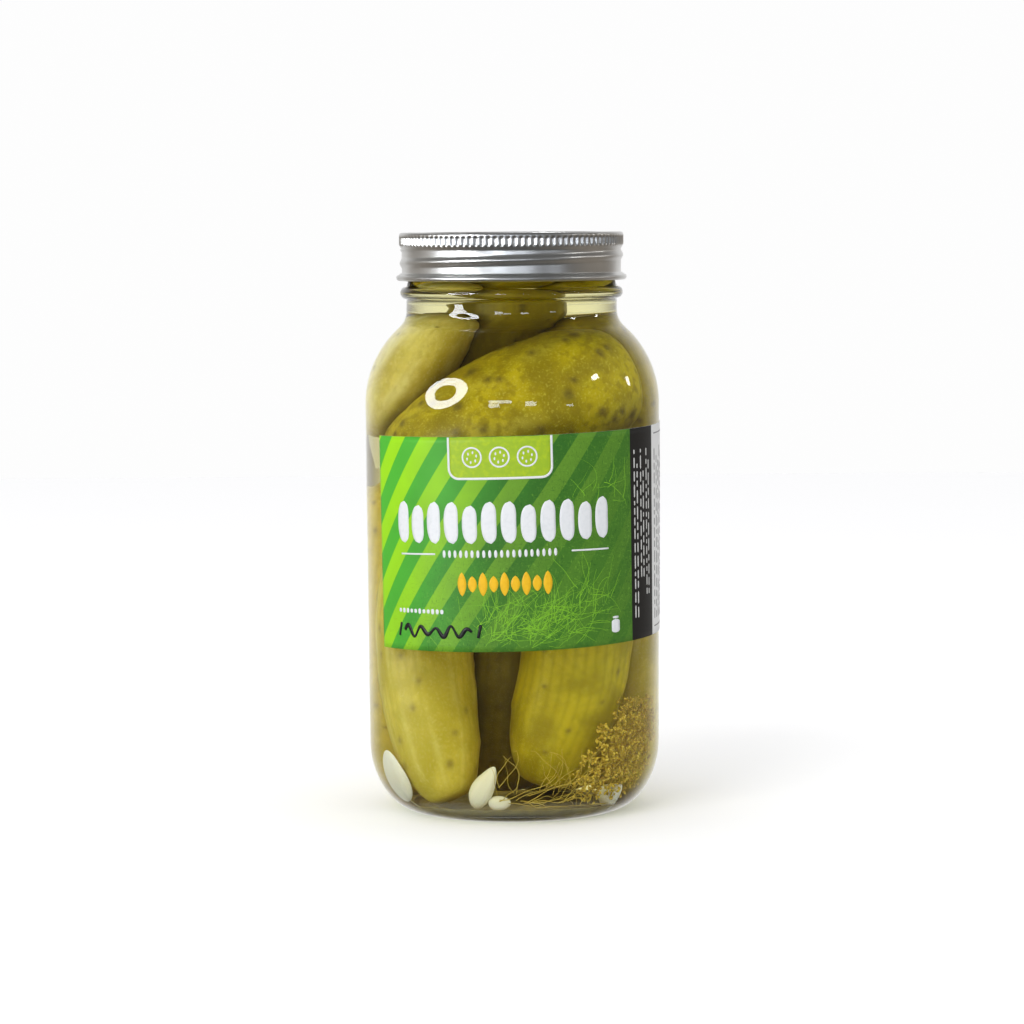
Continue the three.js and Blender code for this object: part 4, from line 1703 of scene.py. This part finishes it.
@dataclass
class LooseStalks:
    """Thin golden dill threads that curl over the foot of the pickles."""

    jar: GlassJar
    seed: int = 83
    count: int = 34
    long_stalk: Range = (14.0, 34.0)
    short_stalk: Range = (8.0, 20.0)
    long_heading: Range = (-0.2, 0.5)
    short_heading: Range = (0.3, 2.4)
    sideways: Range = (-6.0, 22.0)
    lowest: float = 7.2
    highest: Range = (10.8, 14.8)
    heights: Range = (6.8, 24.8)
    depth: Range = (0.9, 2.4)
    thickness: Range = (0.09, 0.16)
    radius: float = 42.0
    wander: float = 1.6
    curl: float = 0.25
    lift: float = 0.6

    def build(self) -> bpy.types.Object:
        """Makes each thread as a curve of steady bend on the wall, lifted off it a little.

        Returns:
            The stalks, every third one long and low.
        """
        draw = np.random.default_rng(self.seed)
        shapes = []
        part = np.linspace(0.0, 1.0, 36)
        for number in range(self.count):
            low = number % 3 == 0
            length = draw.uniform(*(self.long_stalk if low else self.short_stalk))
            heading = draw.uniform(*(self.long_heading if low else self.short_heading))
            turn = heading + draw.uniform(-self.wander, self.wander) * part
            turn += self.curl * np.sin(9.0 * part + number)
            across = draw.uniform(*self.sideways) + np.cumsum(np.cos(turn)) * length / len(part)
            start = draw.uniform(self.lowest, self.highest[0] if low else self.highest[1])
            height = start + np.cumsum(np.sin(turn)) * length / len(part)
            height = np.clip(height, *self.heights)
            bearing = across / self.radius
            radius = self.jar.inside(height) - draw.uniform(*self.depth)
            radius -= self.lift * np.sin(part * 6.0 + number) ** 2
            path = stacked(radius * np.sin(bearing), -radius * np.cos(bearing), height)
            shapes.append(tube(path, draw.uniform(*self.thickness) * (1.0 - 0.5 * part), 6))
        finish = Soft("dill_stalk", (0.66, 0.48, 0.07), (0.44, 0.30, 0.04), 300.0, 0.1, 0.6)
        piece = joined(shapes).object("dill_stalks", finish.material())
        return settle(piece, "dill")


@dataclass
class Sediment:
    """What has settled on the floor of the jar: a thin lumpy bed of spice and dill crumbs."""

    jar: GlassJar
    middle: float = 5.3
    edge: float = 6.3
    depth: float = 0.75
    rim_drop: float = 0.7
    wall_gap: float = 0.25
    crumb_height: float = 0.22
    crumb_length: float = 2.2
    lump_height: float = 0.25
    lump_length: float = 7.0

    def build(self) -> bpy.types.Object:
        """Makes the bed: its underside follows the glass and its top rises to the heel by the
        fifth power of the radius, with crumbs and lumps on it.

        Returns:
            The bed.
        """
        height = np.linspace(self.middle - self.rim_drop, self.edge, 14)
        rim = stacked(self.jar.inside(height) - self.wall_gap, height)
        foot = (0.0, self.middle - self.depth)
        under = straight(foot, rim[0], 24)
        top = straight(rim[-1], (0.0, self.middle), 46)
        top[:, 1] = self.middle + (self.edge - self.middle) * (top[:, 0] / rim[-1, 0]) ** 5
        profile = np.concatenate([[foot], under, rim[1:], top])
        rings = turned(profile, 220)
        upper = np.arange(len(profile)) > len(under) + len(rim)
        inwards = upper * smooth_step(rim[-1, 0] - profile[:, 0], 0.0, 2.0)
        crumbs = self.crumb_height * lumps(rings, self.crumb_length, 13, 14)
        crumbs += self.lump_height * lumps(rings, self.lump_length, 14)
        rings[..., 2] += crumbs * inwards[:, None]
        finish = Soft("settled_spice", (0.46, 0.36, 0.11), (0.27, 0.20, 0.06), 420.0, 0.0, 0.5)
        return settle(skin(rings).object("settled_spice", finish.material()), "dill")


@dataclass
class Filling:
    """The pickles packed in the jar, the garlic between them and the dill."""

    jar: GlassJar

    def packed(self) -> list[Pickle]:
        """The pickles with their skins: where each stands or lies, its bow, girth and seed.

        Returns:
            Five round the wall, one in the middle and four across the top.
        """
        bright = PickleSkin(
            "skin_bright", (0.62, 0.50, 0.012), (0.38, 0.30, 0.005), (0.76, 0.64, 0.05), (0.24, 0.18, 0.02)
        )
        mellow = PickleSkin(
            "skin_mellow", (0.76, 0.62, 0.08), (0.56, 0.45, 0.035), (0.88, 0.78, 0.23), (0.36, 0.27, 0.04)
        )
        speckled = PickleSkin(
            "skin_speckled", (0.58, 0.46, 0.005), (0.31, 0.235, 0.003), (0.70, 0.60, 0.07),
            (0.15, 0.105, 0.016), speckle=0.7,
        )
        pale = PickleSkin("skin_pale", (0.80, 0.69, 0.19), (0.52, 0.41, 0.05), (0.90, 0.83, 0.42))
        # dim and dark are darker copies of the olive skin: painted shade for the pickle in the middle and
        # the one behind at the top
        dim = PickleSkin("skin_dim_painted_shade", (0.25, 0.19, 0.010), (0.15, 0.11, 0.006), (0.36, 0.29, 0.03))
        dark = PickleSkin("skin_dark_painted_shade", (0.45, 0.36, 0.008), (0.30, 0.235, 0.005), (0.56, 0.46, 0.03))
        return [
            Pickle(
                "pickle_front_left", (-18.1, -23.2, 8.2), (-17.5, -5.0, 99.0), (-8.0, 3.0, 0.0), 15.2,
                mellow, 3, warts=40, wart_size=1.6,
            ),
            Pickle(
                "pickle_front_right", (7.1, -16.0, 12.0), (20.7, -18.4, 114.5), (5.8, -1.8, 0.0), 16.1,
                bright, 8, warts=36, wart_size=1.4,
            ),
            Pickle(
                "pickle_right", (25.8, 8.4, 6.4), (26.8, 6.9, 108.0), (1.6, 1.0, 0.0), 15.1, mellow, 12
            ),
            Pickle(
                "pickle_back_right", (6.8, 26.9, 6.3), (6.9, 27.7, 106.3), (1.0, 1.4, 0.0), 14.9, bright, 17
            ),
            Pickle(
                "pickle_back_left", (-21.2, 20.3, 6.6), (-21.3, 17.2, 110.1), (0.0, 1.4, 0.0), 15.2,
                mellow, 21,
            ),
            Pickle("pickle_middle", (-3.5, 4.0, 8.7), (3.3, 1.5, 114.0), (0.0, 0.0, 0.0), 15.2, dim, 26),
            Pickle(
                "pickle_top_front", (-34.4, -7.8, 110.2), (33.5, -5.0, 143.5), (0.8, -9.6, 0.8), 20.4,
                speckled, 31, warts=90, wart_size=2.0, ribs=7, streaks=0.0,
            ),
            Pickle(
                "pickle_top_left", (-33.4, 9.6, 124.0), (-11.6, -3.0, 161.0), (-5.0, 1.0, 0.0), 13.3,
                pale, 37, warts=16, wart_size=0.9, ribs=7, streaks=0.4,
            ),
            Pickle(
                "pickle_top_behind", (-19.4, 24.7, 116.5), (4.0, 6.0, 180.0), (2.0, 2.0, 0.0), 14.3,
                dark, 41, warts=40,
            ),
            Pickle(
                "pickle_top_right", (30.3, 12.2, 115.2), (13.0, 19.0, 159.0), (0.0, 3.0, 1.0), 14.6,
                bright, 47, warts=40,
            ),
        ]

    def build(self) -> None:
        """Makes every piece that lies in the brine."""
        pickles = self.packed()
        for pickle in pickles:
            pickle.build([other for other in pickles if other is not pickle])
        ivory = Soft("garlic_ivory", (0.98, 0.93, 0.82), (0.92, 0.86, 0.72), 130.0, 0.3, 2.0).material()
        cloves = [
            Clove("left", (-32.1, -14.9, 7.2), (-39.4, -19.7, 21.6), 7.8, 2.6, 0.28, 1),
            Clove("middle", (-12.4, -29.6, 6.6), (-6.0, -35.6, 19.0), 4.1, 2.6, 0.5, 2),
            Clove("slice", (-8.0, -32.6, 7.8), (-1.2, -33.6, 8.0), 2.1, 1.3, 0.2, 3),
            Clove("right", (24.1, -18.1, 7.6), (32.2, -20.8, 11.2), 4.4, 3.4, 0.55, 4),
        ]
        for clove in cloves:
            clove.build(ivory)
        for part in (DillHead(self.jar), LooseStalks(self.jar), Sediment(self.jar)):
            part.build()


# The studio


@dataclass
class Studio:
    """Pale floor, soft lights, a bright surround and the camera of the photograph."""

    camera_place: Place = (-0.34, -1130.71, 196.12)
    camera_pitch: float = -0.0865
    camera_roll: float = -0.0068
    focal_pixels: float = 3414.7
    sensor: float = 36.0
    aim: Place = (0.0, 0.0, 110.0)
    lamp_distance: float = 1.6
    top_light: Colour = (1.21, 1.21, 1.225)
    side_light: Colour = (0.16, 0.16, 0.155)
    back_light: Colour = WHITE
    backdrop: Colour = (0.985, 0.985, 0.985)
    front_mirrored: Colour = (0.08, 0.08, 0.08)
    side_mirrored: Colour = (0.25, 0.22, 0.185)
    top_mirrored: Colour = (0.10, 0.10, 0.10)
    overhead: Range = (0.1, 0.9)
    behind: Range = (0.55, 0.93)
    beside: Range = (-0.75, 0.1)
    floor_corner: float = 1450.0
    floor_pale: Colour = (0.995, 0.995, 0.995)
    floor_bounce: Colour = (0.85, 0.85, 0.85)

    def camera(self) -> None:
        """The camera: its focal length is worked out from the photograph's 1024 pixels."""
        data = bpy.data.cameras.new("camera")
        data.sensor_width = self.sensor
        data.lens = self.focal_pixels * self.sensor / PHOTO_SIDE
        data.clip_start, data.clip_end = 0.01, 50.0
        view = bpy.data.objects.new("camera", data)
        turn = Matrix.Rotation(math.pi / 2.0 + self.camera_pitch, 3, "X")
        turn = turn @ Matrix.Rotation(self.camera_roll, 3, "Z")
        view.location = Vector(self.camera_place) * MM
        view.rotation_euler = turn.to_euler()
        bpy.context.scene.collection.objects.link(view)
        bpy.context.scene.camera = view

    def direction(self, azimuth: float, elevation: float) -> Vector:
        """The way to a lamp: azimuth in degrees from the camera's side towards +X."""
        turn, rise = math.radians(azimuth), math.radians(elevation)
        return Vector((math.sin(turn) * math.cos(rise), -math.cos(turn) * math.cos(rise), math.sin(rise)))

    def panel(self, name: str, azimuth: float, elevation: float, side: float, radiance: float) -> None:
        """A soft square panel aimed at the jar, which nothing mirrors.

        Args:
            name: Its name.
            azimuth: Degrees from the camera's side towards +X.
            elevation: Degrees above the horizon.
            side: Its side in metres.
            radiance: How bright it looks, 1 being the white backdrop.
        """
        data = bpy.data.lights.new(name, "AREA")
        data.size = side
        data.energy = radiance * math.pi * side**2
        lamp = bpy.data.objects.new(name, data)
        way = self.direction(azimuth, elevation)
        lamp.location = Vector(self.aim) * MM + way * self.lamp_distance
        lamp.rotation_euler = way.to_track_quat("Z", "Y").to_euler()
        lamp.visible_camera = lamp.visible_glossy = lamp.visible_transmission = False
        bpy.context.scene.collection.objects.link(lamp)

    def card(
        self, name: str, azimuth: float, elevation: float, size: Sequence[float], radiance: float,
        colour: Colour = WHITE, hole: float = 0.0, turn: float = 0.0,
    ) -> None:
        """A bright card that is only seen mirrored: a window, or a round lamp with a hole.

        Args:
            name: Its name.
            azimuth: Degrees from the camera's side towards +X.
            elevation: Degrees above the horizon.
            size: Width and height in degrees, as seen from the jar.
            radiance: How bright it looks.
            colour: Its tint.
            hole: Share of its size that the round hole takes, or 0 for a plain rectangle.
            turn: Degrees by which it is turned in its own plane.
        """
        if hole:
            angle = around(64)
            corners = stacked(np.cos(angle), np.sin(angle))
        else:
            corners = np.array([(1.0, 1.0), (-1.0, 1.0), (-1.0, -1.0), (1.0, -1.0)])
        lean = math.radians(turn)
        half = np.tan(np.radians(np.asarray(size) / 2.0)) * self.lamp_distance / MM
        spin = np.array([[math.cos(lean), math.sin(lean)], [-math.sin(lean), math.cos(lean)]])
        flat = (corners * half) @ spin
        way = np.array(self.direction(azimuth, elevation))
        right = unit(np.cross([0.0, 0.0, 1.0], way))
        rise = np.cross(way, right)
        middle = np.array(self.aim) + way * self.lamp_distance / MM
        shares = (1.0, hole) if hole else (1.0,)
        loops = [middle + share * (flat[:, :1] * right + flat[:, 1:] * rise) for share in shares]
        count = len(flat)
        number = np.arange(count)
        after = np.roll(number, -1)
        faces = stacked(number, after, after + count, number + count) if hole else number[None]
        made, graph = new_material(name)
        glow = graph.node("ShaderNodeEmission", {"Color": (*colour, 1.0), "Strength": radiance})
        graph.output(glow.outputs[0])
        lamp = Shape(np.concatenate(loops), faces).object(name, made)
        lamp.visible_camera = lamp.visible_diffuse = False
        lamp.visible_transmission = lamp.visible_shadow = False

    def floor(self) -> None:
        """A wide pale floor, very slightly mottled, whose bounce is kept soft."""
        corners = np.array([(-1.0, -1.0, 0.0), (1.0, -1.0, 0.0), (1.0, 1.0, 0.0), (-1.0, 1.0, 0.0)])
        points = self.floor_corner * corners
        made, graph = new_material("pale_floor")
        mottled = graph.blend(graph.noise(graph.place(), 3.0), self.backdrop, self.floor_pale)
        pale = graph.node("ShaderNodeBsdfDiffuse", {"Color": mottled})
        soft = graph.node("ShaderNodeBsdfDiffuse", {"Color": (*self.floor_bounce, 1.0)})
        seen = graph.node("ShaderNodeLightPath").outputs["Is Camera Ray"]
        mixed = graph.node("ShaderNodeMixShader", {0: seen, 1: soft.outputs[0], 2: pale.outputs[0]})
        graph.output(mixed.outputs[0])
        floor = Shape(points, np.array([[0, 1, 2, 3]])).object("pale_floor", made)
        floor.visible_glossy = False

    def surround(self) -> None:
        """The room: bright overhead and behind the jar, dim in front where glass and metal
        mirror it, and plain white to the camera."""
        world = bpy.data.worlds.new("surround")
        bpy.context.scene.world = world
        world.use_nodes = True
        graph = Graph(world.node_tree)
        way = graph.node("ShaderNodeTexCoord").outputs["Generated"]
        axes = graph.node("ShaderNodeSeparateXYZ", {0: way})
        overhead = graph.span(axes.outputs[2], *self.overhead)
        behind = graph.span(axes.outputs[1], *self.behind)
        beside = graph.span(axes.outputs[1], *self.beside)
        light = graph.blend(overhead, self.side_light, self.top_light)
        light = graph.blend(behind, light, self.back_light)
        mirrored = graph.blend(beside, self.front_mirrored, self.side_mirrored)
        mirrored = graph.blend(overhead, mirrored, self.top_mirrored)
        mirrored = graph.blend(behind, mirrored, self.back_light)
        rays = graph.node("ShaderNodeLightPath")
        colour = graph.blend(rays.outputs["Is Glossy Ray"], light, mirrored)
        colour = graph.blend(rays.outputs["Is Camera Ray"], colour, self.backdrop)
        room = graph.node("ShaderNodeBackground", {"Color": colour, "Strength": 1.0})
        graph.node("ShaderNodeOutputWorld", {"Surface": room.outputs[0]})

    def build(self) -> None:
        """Makes the studio."""
        self.camera()
        self.floor()
        self.surround()
        self.panel("key_panel", -32.0, 47.0, 0.55, 6.1)
        self.panel("side_panel", -54.0, 14.0, 0.6, 1.6)
        self.panel("low_panel", -15.0, 3.0, 0.8, 1.75)
        self.card("ring_lamp", -54.0, 15.0, (37.0, 27.0), 17.0, (0.94, 0.97, 1.0), hole=0.50, turn=35.0)
        window: Colour = (0.84, 0.90, 1.0)
        self.card("window_left", -9.0, 8.0, (18.0, 3.0), 10.0, window)
        self.card("window_below", -14.0, 4.0, (8.0, 4.0), 10.0, window)
        self.card("window_middle", 14.0, 6.0, (8.0, 5.0), 9.0, window)
        self.card("window_right", 45.0, 3.0, (6.0, 2.0), 9.0, window)
        self.card("small_lamp", 73.0, 26.0, (7.0, 4.0), 20.0, turn=15.0)
        self.card("far_lamp", 106.0, 15.0, (3.5, 6.0), 14.0)
        settings = bpy.context.scene.view_settings
        settings.view_transform = "Standard"
        settings.look = "None"


def main() -> None:
    """Builds the studio and the jar with all that is in it."""
    logging.basicConfig(level=logging.INFO, format="%(name)s %(message)s")
    Studio().build()
    jar = GlassJar()
    jar.build()
    Brine(jar).build()
    ScrewBand().build()
    LidDisc().build()
    Label(jar).build()
    Filling(jar).build()


if __name__ == "__main__":
    main()
